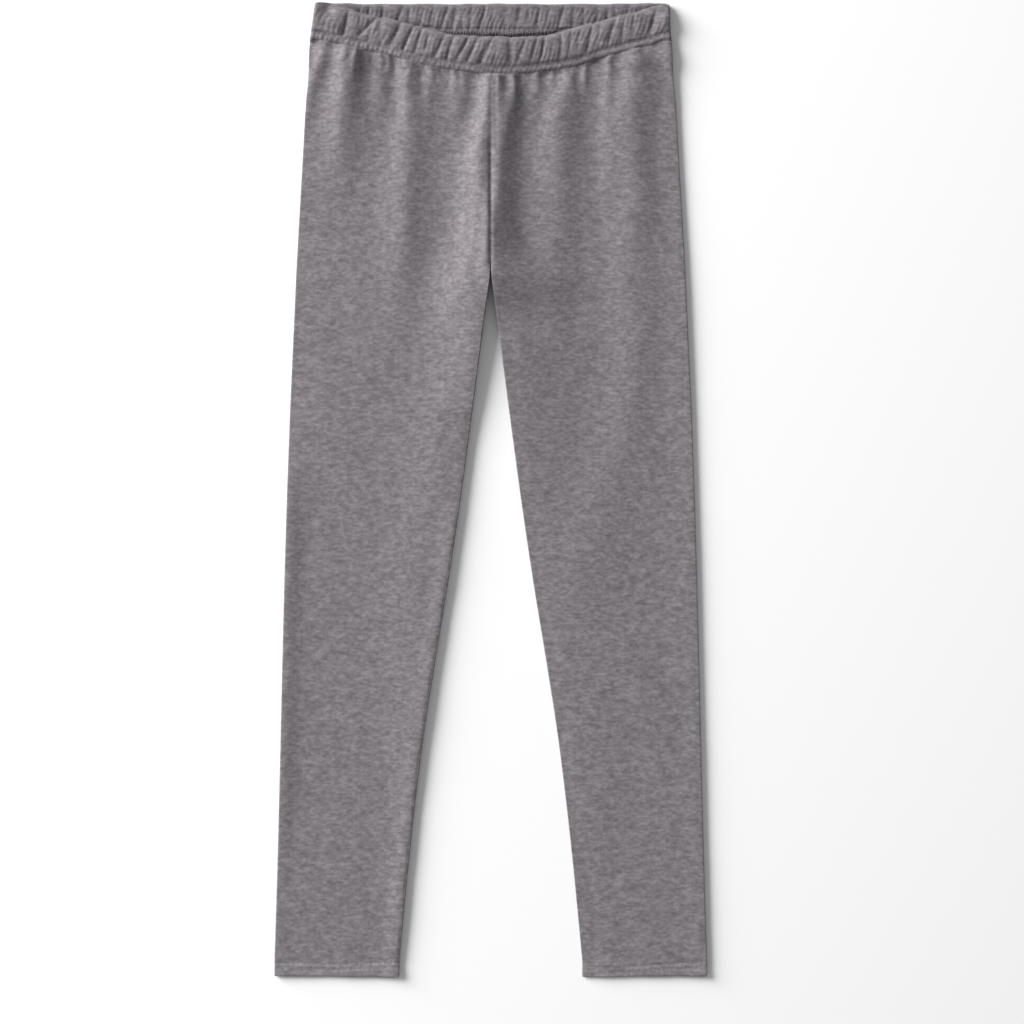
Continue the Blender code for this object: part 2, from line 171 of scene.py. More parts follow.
@dataclass
class Outline:
    """The flat garment's outline as smooth curves through cuts of its solids, in millimetres."""

    cut_step: float = 14.0
    band_step: float = 5.0
    band_margin: float = 8.0
    waist_cuts: tuple[float, ...] = (30.0, 15.0, 1.0)  # how far below the waist the casing is cut
    leg_margins: tuple[float, float] = (1.0, 2.0)  # how far inside its ends a leg is cut
    leg_open: float = 0.5  # below the crotch, where the inseam stands further out than this
    smoothing: int = 3
    front_level: float = 4.2  # what lies above this in a cut of the casing belongs to the front
    front_reach: float = 386.0  # and so does what lies nearer the hems than this
    edge_level: float = 4.5  # the front's folded edge is looked for above this
    casing_past_stitch: float = 0.2
    joint_past_stitch: float = 0.25
    back_row_rise: float = 2.6
    stitch_gauge: float = 6.4
    crotch: float = field(init=False)
    foot: float = field(init=False)
    back_top: float = field(init=False)
    back_sewn: float = field(init=False)
    hem_top: float = field(init=False)

    def __post_init__(self) -> None:
        """Cuts the solids and keeps the curves."""
        leg, casing = Slicer("left_leg"), Slicer("waist_casing")
        leg_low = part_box("left_leg")[0] / MM
        casing_low, casing_high = (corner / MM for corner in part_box("waist_casing"))
        hem_low, hem_high = (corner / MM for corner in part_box("left_hem"))
        self.foot, self.hem_top = hem_low.y, hem_high.y
        self.back_top = casing_high.y
        low, high = leg_low.y + self.leg_margins[0], casing_low.y - self.leg_margins[1]
        heights = np.arange(low, high, self.cut_step)
        cuts = [leg.cut(1, y) for y in heights]
        outer = np.array([cut[:, 0].max() for cut in cuts])
        inner = np.array([cut[:, 0].min() for cut in cuts])
        top_heights = casing_high.y - np.array(self.waist_cuts)
        top_outer = np.array([casing.cut(1, y)[:, 0].max() for y in top_heights])
        self.outer_y = np.concatenate([heights, top_heights])
        self.outer_x = self._smooth(np.concatenate([outer, top_outer]))
        open_leg = inner > self.leg_open
        self.crotch = float(heights[~open_leg].min()) - self.cut_step / 2
        self.inner_y, self.inner_x = heights[open_leg], self._smooth(inner[open_leg])
        self._read_band(casing, casing_high.x)

    def _read_band(self, casing: Slicer, reach: float) -> None:
        """Reads the front casing's folded and sewn edges from cuts across it.

        Args:
            casing: the casing's solid.
            reach: its furthest point to the side.
        """
        span = reach - self.band_margin
        self.band_x = np.clip(np.arange(-span, span + self.band_step, self.band_step), -span, span)
        tops, feet, backs = [], [], []
        for x in self.band_x:
            cut = casing.cut(0, x)
            front = (cut[:, 2] > self.front_level) | (cut[:, 1] < self.front_reach)
            tops.append(cut[front & (cut[:, 2] > self.edge_level), 1].max())
            feet.append(cut[front, 1].min())
            backs.append(cut[~front, 1].min())
        self.band_top = self._smooth(np.array(tops))
        self.band_foot = self._smooth(np.array(feet))
        self.back_sewn = float(np.median(backs))

    def _smooth(self, values: Points) -> Points:
        """A running mean that keeps a straight line and the two ends as they are.

        Args:
            values: the values.

        Returns:
            The smoothed values.
        """
        kept = values.copy()
        for _ in range(self.smoothing):
            kept[1:-1] = (kept[:-2] + 2 * kept[1:-1] + kept[2:]) / 4
        return kept

    def outer(self, y: Points) -> Points:
        """Distance of the leg's folded side from the centre line."""
        return smooth_curve(y, self.outer_y, self.outer_x)

    def inner(self, y: Points) -> Points:
        """Distance of the inseam from the centre line, and nothing above the crotch.

        Args:
            y: place along.

        Returns:
            The distance.
        """
        leg = smooth_curve(y, self.inner_y, self.inner_x)
        near = np.clip((self.crotch - y) / max(self.crotch - self.inner_y[-1], 1.0), 0.0, 1.0)
        return np.where(y > self.inner_y[-1], self.inner_x[-1] * near, leg)

    def top(self, x: Points) -> Points:
        """Height of the front casing's folded edge."""
        return smooth_curve(x, self.band_x, self.band_top)

    def stitch(self, x: Points) -> Points:
        """Height of the front casing's lower needle row, which strays a little and drops at the sides.

        Args:
            x: place across.

        Returns:
            The height.
        """
        strays = sum(stray.rise * bell(x - stray.x, stray.wide) for stray in ROW_STRAYS)
        sides = -0.5 * ramp(np.abs(x), 128.0, 144.0)
        return smooth_curve(x, self.band_x, self.band_foot) + self.casing_past_stitch + strays + sides

    def back_stitch(self) -> float:
        """Height of the back casing's lower needle row."""
        return self.back_sewn + self.casing_past_stitch + self.back_row_rise


# ---------------------------------------------------------------------------------------------
# The relief of the cloth
# ---------------------------------------------------------------------------------------------


class Gather(NamedTuple):
    """One groove of the gathered casing.

    x is its place across at mid height, lean the shift of its top to +X, deep its depth, wide its half
    width, and low and high the shares of the elastic's height between which it runs.
    """

    x: float
    lean: float
    deep: float
    wide: float
    low: float = 0.0
    high: float = 1.0


class Crest(NamedTuple):
    """One place on a fold's crest, with the fold's rise there and its half width on each side."""

    x: float
    y: float
    rise: float
    left: float
    right: float


class Fold(NamedTuple):
    """A soft ridge in the cloth, from the waist end of its crest to the hem end.

    leg is the sign of X on the one leg that it keeps to below the crotch, or 0.
    """

    crests: tuple[Crest, ...]
    leg: int = 0


def fold(*crests: tuple[float, float, float, float, float], leg: int = 0) -> Fold:
    """A fold from plain numbers."""
    return Fold(tuple(Crest(*crest) for crest in crests), leg)


class Crease(NamedTuple):
    """A short shallow crease: a trough where deep is positive."""

    x: float
    y: float
    turn_deg: float
    half_length: float
    half_width: float
    deep: float


class Dent(NamedTuple):
    """A round soft hollow (rise < 0) or puff (rise > 0)."""

    x: float
    y: float
    wide: float
    tall: float
    rise: float


# The front casing's grooves, from the wearer's right side to the left.
FRONT_GATHERS: Sequence[Gather] = (
    Gather(-124.7, 6.6, 2.0, 1.4),
    Gather(-106.9, 21.0, 1.9, 1.6, 0.16, 1.0),
    Gather(-112.8, 0.0, 1.1, 1.3, 0.0, 0.22),
    Gather(-103.6, 4.0, 1.2, 1.4, 0.0, 0.42),
    Gather(-95.6, 3.0, 1.3, 1.4, 0.42, 1.0),
    Gather(-94.2, 1.0, 0.9, 1.3, 0.0, 0.36),
    Gather(-82.1, 11.6, 2.0, 1.5),
    Gather(-70.9, 11.6, 2.1, 1.4),
    Gather(-62.2, 6.6, 1.6, 1.5),
    Gather(-54.9, 4.0, 0.8, 1.5, 0.2, 1.0),
    Gather(-43.7, 11.6, 1.8, 1.5),
    Gather(-34.7, 7.5, 2.0, 1.4),
    Gather(-24.3, 13.3, 2.0, 1.5),
    Gather(-15.7, 11.6, 1.6, 1.5),
    Gather(-3.7, 12.4, 1.9, 1.6),
    Gather(4.0, 2.0, 0.5, 1.6, 0.0, 0.9),
    Gather(17.0, 0.5, 1.8, 2.6),
    Gather(26.5, 10.0, 1.5, 1.9),
    Gather(37.4, 6.6, 1.8, 1.3),
    Gather(44.6, 5.8, 2.1, 1.3),
    Gather(53.0, 4.0, 0.5, 1.6, 0.3, 0.9),
    Gather(60.5, 1.0, 1.8, 1.6),
    Gather(68.3, 5.0, 1.3, 1.5),
    Gather(75.6, 3.0, 0.9, 1.5, 0.25, 1.0),
    Gather(85.1, 6.6, 2.1, 1.5),
    Gather(92.8, 4.0, 0.9, 1.6),
    Gather(104.0, 9.0, 1.9, 1.6),
    Gather(113.5, 1.0, 1.6, 1.7),
    Gather(123.0, 3.0, 1.0, 1.7, 0.2, 1.0),
    Gather(132.5, 2.0, 0.5, 1.7, 0.1, 0.7),
    Gather(139.8, 6.6, 2.0, 1.8),
)

# The grooves on the back casing's inner face, which shows over the front's dip.
INNER_GATHERS: Sequence[Gather] = (
    Gather(-131.4, 3.4, 0.6, 1.8),
    Gather(-114.4, 4.2, 1.0, 1.8),
    Gather(-106.6, 4.2, 1.1, 1.8),
    Gather(-94.0, 3.4, 1.1, 1.4),
    Gather(-79.4, 9.3, 1.5, 1.6),
    Gather(-70.6, 0.0, 1.0, 1.6),
    Gather(-60.4, 1.7, 0.7, 2.2, 0.0, 0.8),
    Gather(-50.4, 3.4, 0.6, 2.2),
    Gather(-40.0, 7.6, 1.6, 1.5),
    Gather(-31.4, 5.1, 1.3, 2.6),
    Gather(-24.4, 1.7, 0.9, 1.4, 0.0, 0.7),
    Gather(-17.0, 2.5, 1.0, 1.7),
    Gather(-7.0, 6.0, 1.5, 1.5),
    Gather(1.6, 1.7, 0.5, 2.2),
    Gather(12.6, 2.5, 0.7, 2.6),
    Gather(23.8, 6.0, 1.4, 1.7),
    Gather(32.6, 0.8, 0.5, 2.0, 0.2, 0.9),
    Gather(41.0, 1.7, 1.4, 1.6),
    Gather(49.2, 2.5, 0.8, 1.8, 0.3, 1.0),
    Gather(60.6, 6.8, 1.3, 1.6),
    Gather(71.2, 1.7, 1.2, 1.7),
    Gather(79.8, 0.8, 1.3, 1.5, 0.2, 1.0),
    Gather(91.6, 2.5, 0.8, 1.8),
    Gather(100.4, 2.5, 1.4, 1.5),
    Gather(108.0, -2.5, 1.0, 1.6),
    Gather(117.6, 1.7, 0.8, 2.0),
    Gather(127.6, 6.0, 1.2, 1.7, 0.3, 1.0),
    Gather(135.6, 4.2, 1.0, 1.7, 0.3, 1.0),
)

# The front's folds, from the wearer's right side to the left; all but one hang from the needle row.
FRONT_FOLDS: Sequence[Fold] = (
    fold((-142, 391, 1.8, 5, 6), (-144, 381, 2.1, 5, 7), (-146.5, 371, 2.2, 6, 7.5),
         (-154.5, 350, 1.8, 6, 8.5), (-158, 327, 0.8, 6, 7), (-163, 300, 0, 6, 7)),
    fold((-123.5, 387, 4.5, 8.5, 8.5), (-125, 371, 5, 9, 11), (-125.5, 350, 5.3, 10.5, 14.5),
         (-127.5, 326, 4, 11.5, 16), (-129.5, 300, 2.6, 12, 19), (-130, 275, 1, 12, 15),
         (-132, 252, 0, 13, 15)),
    fold((-115, 384, 3.1, 3, 4.2), (-115.5, 376, 2.4, 3.2, 4.6), (-117, 366, 1.7, 3.6, 5),
         (-119, 350, 0, 4, 5)),
    fold((-106.5, 381, 0.7, 3, 3), (-106, 372, 0.5, 3, 3), (-105, 362, 0, 3, 3)),
    fold((-93.5, 379, 2.2, 6, 5), (-94, 366, 1.7, 6, 5.5), (-95, 350, 1.7, 7, 6.5), (-96, 322, 0, 8, 8)),
    fold((-87.6, 378, 1.2, 2.2, 3.4), (-87.8, 366, 0.8, 2.4, 3.6), (-88.5, 350, 0, 3, 4)),
    fold((-78.5, 375, 1.3, 3, 2.6), (-78.5, 362, 0.6, 3, 2.8), (-79, 350, 0, 3, 3)),
    fold((-70.5, 372, 3.7, 6.5, 7.5), (-71.5, 350, 3.7, 7.4, 11), (-70.5, 326, 3.2, 8.5, 14),
         (-72, 300, 3, 12, 17), (-73, 275, 2.8, 13, 16), (-74, 235, 2.6, 16, 15),
         (-76, 190, 1.8, 18, 15), (-80, 140, 0.8, 20, 16), (-84, 90, 0, 20, 16), leg=-1),
    fold((-51.5, 368, 2, 5, 8), (-52, 350, 1.8, 5.5, 9.5), (-53, 326, 0.7, 7, 13), (-54, 306, 0, 7, 13)),
    fold((-32, 363, 1.7, 2.4, 3.6), (-32, 354, 1.6, 2.6, 4.2), (-31.5, 340, 0, 3.4, 4.4)),
    fold((-22.5, 362, 1.4, 5.5, 4.5), (-24, 350, 1.6, 7, 6), (-27, 335, 1.3, 8, 7),
         (-31, 318, 0.6, 9, 8), (-34, 300, 0, 10, 9)),
    fold((-0.5, 361, 4.3, 7.5, 13), (-1, 345, 4.9, 8, 16), (-2.5, 326, 5.7, 9, 17),
         (-7, 302, 6.6, 11, 19), (-9, 275, 7.1, 13, 23), (-8.5, 250, 7.2, 15, 26),
         (-9, 225, 7.6, 16.5, 30), (-11, 203, 7.6, 19, 40), (-12.5, 178, 8.7, 26, 60),
         (-13, 155, 7.1, 28, 60), (-13, 130, 5.8, 29, 60), (-22, 95, 4.2, 28, 50),
         (-38, 50, 2.6, 26, 30), (-47, 0, 2, 24, 40), (-56, -60, 1.8, 30, 40), (-60, -125, 1.6, 28, 40),
         (-64, -197, 1.7, 20, 30), (-72, -266, 1.3, 16, 20), (-78, -352, 0.8, 12, 20),
         (-80, -400, 0.3, 12, 20), leg=-1),
    fold((-2.5, 264, 0, 5, 5), (-2.5, 245, 1.2, 5, 5), (-2.5, 225, 1.8, 5.5, 6), (-4, 203, 1.5, 6, 8),
         (-6, 180, 0, 6, 8), leg=-1),
    fold((7.2, 361, 1.8, 3, 3.6), (7.2, 347, 1.3, 3, 4.6), (7.5, 333, 1.3, 3.2, 8),
         (8, 322, 1.1, 3.4, 11), (8.5, 305, 0.7, 4, 12), (8.5, 290, 0, 4, 12)),
    fold((20, 361, 3.4, 6, 3), (20.5, 348, 3.1, 6, 3.6), (18.8, 333, 3.1, 8, 6.6),
         (13.5, 312, 2.7, 8.5, 12.5), (10, 290, 2.7, 8.5, 14.5), (8, 262, 2.8, 8.5, 15.5),
         (6.5, 235, 2.8, 11.5, 14.5), (5.5, 205, 2.8, 14, 22), (5, 175, 3.2, 14, 40),
         (6, 138, 4.5, 12, 46), (12, 78, 3.5, 14, 46), (20, 10, 2.2, 16, 50), (28, -60, 0.8, 16, 50),
         (34, -120, 0, 16, 46), leg=1),
    fold((29.5, 361, 0.7, 3, 2.8), (29, 350, 0.4, 3, 3), (29, 342, 0, 3, 3)),
    fold((40, 362, 2.1, 4.6, 4), (39.5, 350, 1.4, 5.4, 4.5), (38, 338, 0.9, 7, 6), (36, 320, 0.2, 8, 6),
         (36, 310, 0, 8, 6)),
    fold((52.8, 366, 1.4, 2.6, 3.2), (52.6, 354, 1.1, 2.7, 3.2), (52.4, 342, 0, 3, 4)),
    fold((66.5, 371, 3.1, 8, 5.5), (68, 352, 3, 9, 7.2), (63.5, 340, 3.6, 12, 15),
         (59, 322, 3.8, 13, 18), (58, 302, 3.6, 15, 18), (57, 275, 3.1, 19, 18),
         (57, 250, 2.7, 23, 18.5), (57, 222, 2.5, 25, 17.5), (56, 190, 1.6, 22, 18),
         (57, 150, 0.9, 22, 14), (58, 110, 0.3, 22, 14), (58, 85, 0, 22, 14), leg=1),
    fold((81, 374, 1.9, 4.4, 3.6), (81, 352, 1.1, 4.4, 3.6), (80.5, 336, 0, 6, 6)),
    fold((102, 379, 2.7, 3.4, 5), (101.5, 365, 1.6, 3.8, 5.6), (100.5, 350, 1.3, 4.6, 7),
         (101, 330, 1.2, 6, 8), (101.5, 300, 1.1, 8, 10), (102, 270, 0.9, 8.5, 10),
         (102, 240, 0.3, 9, 10), (102, 215, 0, 9, 10)),
    fold((125, 386, 3.7, 8, 11), (124, 372, 3.4, 11, 14), (122.5, 350, 3.7, 13, 21),
         (120.5, 325, 3.3, 15, 18), (121, 300, 2.9, 17, 17), (124, 270, 2.7, 17, 16),
         (124, 240, 2.4, 16, 18), (121, 215, 2.2, 16, 20), (120.5, 190, 2, 16, 22),
         (122, 160, 1.8, 18, 22), (126, 139, 1.7, 22, 17), (122, 96, 1.7, 20, 20),
         (116, 53, 1.3, 20, 20), (100, 5, 1.3, 26, 28), (80, -55, 1.6, 30, 32), (74, -125, 0.9, 30, 40),
         (78, -200, 0.5, 24, 40), (82, -270, 0.3, 20, 40), (86, -350, 0, 20, 30), leg=1),
    fold((151, 391, 1.6, 5.5, 5), (153, 378, 1.4, 6, 5), (156, 360, 1, 6.5, 5), (160, 320, 0, 7, 5)),
)

# Pressed creases on the legs, and short slanting ones between the folds under the needle row.
CREASES: Sequence[Crease] = (
    Crease(82.0, -18.0, 1.0, 32.0, 1.6, 0.28),
    Crease(-133.0, -132.0, -2.0, 34.0, 1.5, 0.26),
    Crease(-65.0, 151.0, 6.0, 14.0, 1.6, 0.3),
    Crease(27.5, 308.0, -8.0, 8.0, 1.4, 0.35),
    Crease(51.5, 283.0, 4.0, 9.0, 1.5, 0.3),
    Crease(-98.0, 226.0, -9.0, 16.0, 1.8, 0.25),
    Crease(120.0, 205.0, 7.0, 18.0, 1.8, 0.22),
    Crease(-112.0, -236.0, 3.0, 26.0, 1.7, 0.2),
    Crease(120.0, -205.0, -3.0, 30.0, 1.6, 0.2),
    Crease(136.0, -305.0, 2.0, 22.0, 1.6, 0.2),
    Crease(105.0, 369.4, -45.0, 5.0, 1.5, 0.88),
    Crease(-123.2, 371.6, 48.0, 5.4, 1.5, 0.99),
    Crease(-130.5, 373.0, 74.0, 4.6, 1.5, 0.55),
    Crease(-102.6, 370.6, 74.0, 4.8, 1.5, 0.77),
    Crease(-91.0, 366.6, 58.0, 4.4, 1.5, 0.77),
    Crease(-82.4, 364.0, 80.0, 5.8, 1.5, 0.77),
    Crease(-72.5, 362.4, 60.0, 5.8, 1.5, 0.99),
    Crease(-60.0, 358.0, 78.0, 4.6, 1.5, 0.66),
    Crease(-47.0, 355.6, 84.0, 4.6, 1.5, 0.55),
    Crease(-34.0, 354.0, 58.0, 4.8, 1.5, 0.77),
    Crease(60.5, 358.8, 116.0, 4.4, 1.5, 0.66),
    Crease(78.5, 364.4, 64.0, 4.6, 1.5, 0.55),
    Crease(118.0, 374.6, 116.0, 4.4, 1.5, 0.55),
    Crease(-150.0, 60.0, 8.0, 14.0, 1.6, 0.22),
)

# Hollows and puffs of the front casing, and the pits under its needle row.
BAND_DENTS: Sequence[Dent] = (
    Dent(-140.5, 414.6, 6.4, 5.6, -3.6),
    Dent(150.0, 404.5, 5.4, 7.0, 2.9),
    Dent(147.0, 413.5, 5.0, 3.0, -0.7),
    Dent(-134.0, 401.0, 6.0, 8.0, 0.5),
    Dent(-116.5, 404.0, 5.0, 9.0, 0.5),
    Dent(94.0, 390.0, 4.5, 8.0, 0.35),
    Dent(68.0, 362.6, 3.6, 2.6, -1.9),
    Dent(91.0, 370.8, 4.2, 2.6, -2.0),
    Dent(131.5, 381.6, 4.2, 2.6, -1.9),
    Dent(-131.0, 384.5, 3.6, 2.4, -0.8),
    Dent(-103.0, 377.5, 3.4, 2.4, -0.7),
    Dent(43.0, 358.0, 3.0, 2.2, -0.7),
)

# The back's grooves and folds don't show, so they are plain and even.
BACK_GATHERS: Sequence[Gather] = tuple(
    Gather(-136.0 + 9.6 * place + 2.1 * math.sin(2.3 * place), -6.0 + 3.5 * math.sin(1.7 * place),
           1.15 + 0.45 * math.sin(3.1 * place + 1.0), 1.7 + 0.3 * math.sin(1.3 * place))
    for place in range(29)
)

BACK_FOLDS: Sequence[Fold] = (
    fold((-131, 392, 0.9, 8, 7), (-136, 340, 0.7, 9, 8), (-138, 296, 0, 9, 8)),
    fold((-108, 392, 0.7, 6, 8), (-104, 318, 0, 7, 9)),
    fold((-79, 392, 1, 7, 8), (-84, 330, 0.9, 9, 9), (-86, 270, 0, 10, 9)),
    fold((-47, 392, 0.6, 6, 6), (-49, 330, 0, 7, 7)),
    fold((-22, 392, 1, 8, 7), (-18, 320, 1, 9, 9), (-12, 240, 0, 10, 10)),
    fold((23, 392, 1, 7, 8), (19, 330, 0.9, 8, 9), (14, 262, 0, 9, 10)),
    fold((52, 392, 0.7, 6, 7), (56, 322, 0, 7, 8)),
    fold((88, 392, 0.9, 8, 7), (84, 340, 0.8, 9, 8), (80, 276, 0, 10, 9)),
    fold((118, 392, 0.8, 7, 8), (125, 306, 0, 8, 9)),
    fold((-18, 214, 0, 8, 8), (-36, 150, 0.9, 9, 10), (-58, 60, 0, 12, 12)),
    fold((18, 214, 0, 8, 8), (34, 150, 0.9, 10, 9), (52, 84, 0, 12, 12)),
    fold((-120, 40, 0, 14, 12), (-112, -50, 0.6, 14, 12), (-104, -140, 0, 14, 12)),
    fold((116, -20, 0, 12, 14), (124, -125, 0.5, 12, 14), (132, -230, 0, 12, 14)),
)


@dataclass
class Relief:
    """Heights of the garment's faces over its plan, in millimetres above the table.

    Every map takes arrays of the places across, x, and along, y, and returns the height there. The
    numbers inside a map are places on the plan, half widths, heights and depths in millimetres, and
    shares. The wearer's left side, at +X, is gathered and pleated more softly than the right one.
    """

    outline: Outline
    cloth: float = 1.4
    casing: float = 3.9
    hem: float = 2.6
    slack: float = 0.5
    side_bulge: float = 0.5
    inseam_bulge: float = 0.5
    row_depth: float = 0.8
    upper_row_depth: float = 1.3
    row_width: float = 1.5
    gather_depth: float = 0.88
    gather_width: float = 0.85
    ruche: float = 0.22
    ruche_pitch: float = 4.3
    crevice: float = 4.0
    ridge_drop: float = 0.35
    rest_on_cloth: float = 1.6
    rest_on_casing: float = 4.3
    step_low: float = 356.0  # where the front layer starts to climb onto the back casing
    step_high: float = 378.0
    opening_middle: float = -3.0
    opening_wide: float = 56.0
    opening_gape: float = 3.0
    pucker_pitch: float = 4.15
    fold_gain: float = 1.3
    turn_away: float = 3.0  # how far in from the wearer's right inseam the cloth starts to turn down
    roll_reach: float = 7.5  # how far below its folded edge the casing starts to roll over
    hem_row_gauge: float = 4.3
    back_limit: float = 1.6
    thinnest: float = 0.8

    def gape(self, x: Points, y: Points) -> Points:
        """How far the front's waist stands off the back's, where the opening gapes."""
        return self.opening_gape * bell(x - self.opening_middle, self.opening_wide) * ramp(y, 310.0, 374.0)

    def rest(self, x: Points, y: Points) -> Points:
        """Level of the front layer's under face."""
        climb = ramp(y, self.step_low, self.step_high)
        return mix(self.rest_on_cloth, self.rest_on_casing, climb) + self.gape(x, y)

    def _soft_side(self, x: Points) -> Points:
        """The share, from 0 to 1, of the wearer's left side, where gathers and pleats are softer."""
        return ramp(x, 35.0, 95.0)

    def _gathered(self, x: Points, above: Points, tall: Points, gathers: Sequence[Gather]) -> Points:
        """Depth of the grooves at a place on an elastic band.

        Args:
            x: place across.
            above: height above the band's upper needle row.
            tall: height of the elastic there.
            gathers: the grooves.

        Returns:
            The grooves' depth, 0 on the puffs between them, with the fine ruche of the cloth added.
        """
        share = above / tall
        total = np.zeros_like(x)
        for index, gather in enumerate(gathers):
            # every groove bends a little, fades in at its foot and out at its head, and varies in depth
            bend = 0.25 * np.sin(1.7 * HALF_TURN * share + 2.0 * index)
            away = x - (gather.x + gather.lean * (share - 0.5) + bend)
            starts = ramp(share, gather.low - 0.06, gather.low + 0.12)
            ends = mix(0.25, 1.0, ramp(share, gather.high - 0.02, gather.high - 0.36))
            shape = 0.8 * furrow(away, self.gather_width * gather.wide) + 0.48 * bell(away, 3.9)
            uneven = 1.0 + 0.22 * np.sin(5.0 * share + 1.9 * index)
            total += starts * ends * self.gather_depth * gather.deep * uneven * shape
        # the grooves get shallower towards the wearer's left, most of all just over the needle row
        far_left = mix(0.82, 0.75, ramp(x, 60.0, 110.0))
        total *= mix(1.0, 0.94, ramp(x, -95.0, -55.0))
        total *= mix(1.0, far_left * mix(0.45, 1.0, ramp(above, 0.0, 9.0)), ramp(x, -10.0, 30.0))
        # fine slanting ruches fill the puffs and fade out near the folded edge
        phase = 2 * HALF_TURN * (x - 0.36 * above) / self.ruche_pitch
        phase += 1.6 * np.sin(x / 9.0) + 0.8 * np.sin(above / 3.1 + x / 17.0)
        swell = 0.55 + 0.45 * np.sin(x / 7.3 + above / 5.0)
        return total + self.ruche * swell * (1.0 + np.sin(phase)) * ramp(share, 0.94, 0.74)

    def _folded(self, x: Points, y: Points, folds: Sequence[Fold]) -> Points:
        """Height that the folds add at a place.

        Args:
            x: place across.
            y: place along.
            folds: the folds.

        Returns:
            The height.
        """
        total = np.zeros_like(x)
        for crests, leg in folds:
            table = np.array(crests, dtype=float)[::-1]
            heights = table[:, 1]
            middle, rise, left, right = (smooth_curve(y, heights, table[:, part]) for part in (0, 2, 3, 4))
            away = x - middle
            rise = np.where(y < heights[0], 0.0, np.maximum(rise, 0.0))
            if leg:
                crotch = self.outline.crotch
                rise = rise * np.where(x * leg > 0, 1.0, ramp(y, crotch - 50.0, crotch))
            total += rise * bell(away, np.where(away < 0, left, right))
        return self.fold_gain * total

    def _creased(self, x: Points, y: Points) -> Points:
        """How far the short creases, dents and puffs change the height at a place.

        Args:
            x: place across.
            y: place along.

        Returns:
            The change, below 0 where the cloth sinks.
        """
        total = np.zeros_like(x)
        for crease in CREASES:
            turn = math.radians(crease.turn_deg)
            along = (x - crease.x) * math.cos(turn) + (y - crease.y) * math.sin(turn)
            across = (y - crease.y) * math.cos(turn) - (x - crease.x) * math.sin(turn)
            total -= crease.deep * bell(along, crease.half_length) * bell(across, crease.half_width)
        for dent in BAND_DENTS:
            total += dent.rise * bell(x - dent.x, dent.wide) * bell(y - dent.y, dent.tall)
        return total

    def _uneven(self, x: Points, y: Points) -> Points:
        """The slow, middling and small unevenness of cloth that was smoothed down by hand.

        Args:
            x: place across.
            y: place along.

        Returns:
            The change of height.
        """
        slow = np.sin(x / 23.0 + 1.1 * np.sin(y / 61.0)) * np.sin(y / 74.0 + 0.7 * np.sin(x / 37.0))
        middling = np.sin(x / 11.0 + 0.6 * np.sin(y / 29.0) + 2.0) * np.sin(y / 33.0 + np.sin(x / 19.0))
        small = np.sin(x / 4.7 + np.sin(y / 13.0)) * np.sin(y / 7.1 + np.sin(x / 9.0) + 1.0)
        return 0.2 * slow + 0.1 * middling + 0.035 * small

    def _pucker(self, x: Points, lean: float) -> Points:
        """The small regular waves that a needle row draws into the cloth, from -1 to 1."""
        phase = 2 * HALF_TURN * (x / self.pucker_pitch) + 1.3 * np.sin(x / 13.0) + 0.8 * np.sin(x / 5.9)
        return 0.62 * np.sin(phase + lean) + 0.38 * np.sin(0.57 * phase + 2.0 * lean)

    def hem_rows(self, x: Points) -> tuple[Points, Points]:
        """Heights of a hem's upper and lower needle rows above its folded edge.

        Args:
            x: place across.

        Returns:
            The upper row's heights and the lower row's.
        """
        left_side = 7.6 + 5.0 * ramp(x, 70.0, 190.0)
        right_side = 12.2 + 0.7 * np.sin(x / 17.0)
        upper = np.where(x > 0, left_side, right_side)
        return upper, upper - self.hem_row_gauge + 0.3 * np.sin(x / 21.0)

    def _hemmed(self, x: Points, y: Points) -> Points:
        """What the turned-up hem and its needle rows add to the front.

        Args:
            x: place across.
            y: place along.

        Returns:
            The height added, below 0 in the rows.
        """
        above = y - self.outline.foot
        upper, lower = self.hem_rows(x)
        rows = groove(above - upper, 2.2, 0.9) * (0.6 + 0.16 * self._pucker(x, 0.4))
        rows += groove(above - lower, 1.8, 0.9) * (0.5 + 0.2 * self._pucker(x, 2.0))
        return 0.3 * ramp(above, 20.0, 10.0) - rows + 0.1 * np.sin(x / 7.0) * ramp(above, 14.0, 6.0)

    def _edges(self, x: Points, y: Points) -> Points:
        """How the folded side and the inseam stand plumper than the middle of a leg.

        Args:
            x: place across.
            y: place along.

        Returns:
            The height added.
        """
        crotch, left = self.outline.crotch, x > 0
        side = self.outline.outer(y) - np.abs(x)
        inseam = np.abs(x) - self.outline.inner(y)
        # the folded side: the right leg's sinks on the thigh and stands plump further down
        left_side = 1.7 * mix(0.6, 1.0, ramp(y, crotch + 150.0, crotch - 40.0))
        right_side = mix(-0.8, 4.2, ramp(y, 60.0, -20.0)) * (1.0 - 0.8 * ramp(y, -240.0, -340.0))
        plump = bell(np.maximum(side - 2.0, 0.0), np.where(left, 13.0, 11.0))
        total = self.side_bulge * np.where(left, left_side, right_side) * plump
        # the inseam: plump on the right leg, a little sunk on the left one
        slope = np.where(left, -0.5 - 1.5 * ramp(y, -120.0, -370.0), 1.9 + 1.4 * ramp(y, 20.0, -70.0))
        plump = bell(np.maximum(inseam - 3.4, 0.0), 9.0)
        total += self.inseam_bulge * slope * ramp(y, crotch - 8.0, crotch - 68.0) * plump
        # the very edge of the right leg's inseam turns down
        shows = ramp(y, crotch - 150.0, crotch - 240.0) * (x < 0)
        reach = self.turn_away + 0.9 * bell(y + 186.0, 3.5) + 0.5 * np.sin(y / 21.0) * np.sin(y / 7.9)
        return total - 0.4 * shows * ease((reach - inseam) / 2.4) * (1.0 + 0.25 * np.sin(y / 9.3))

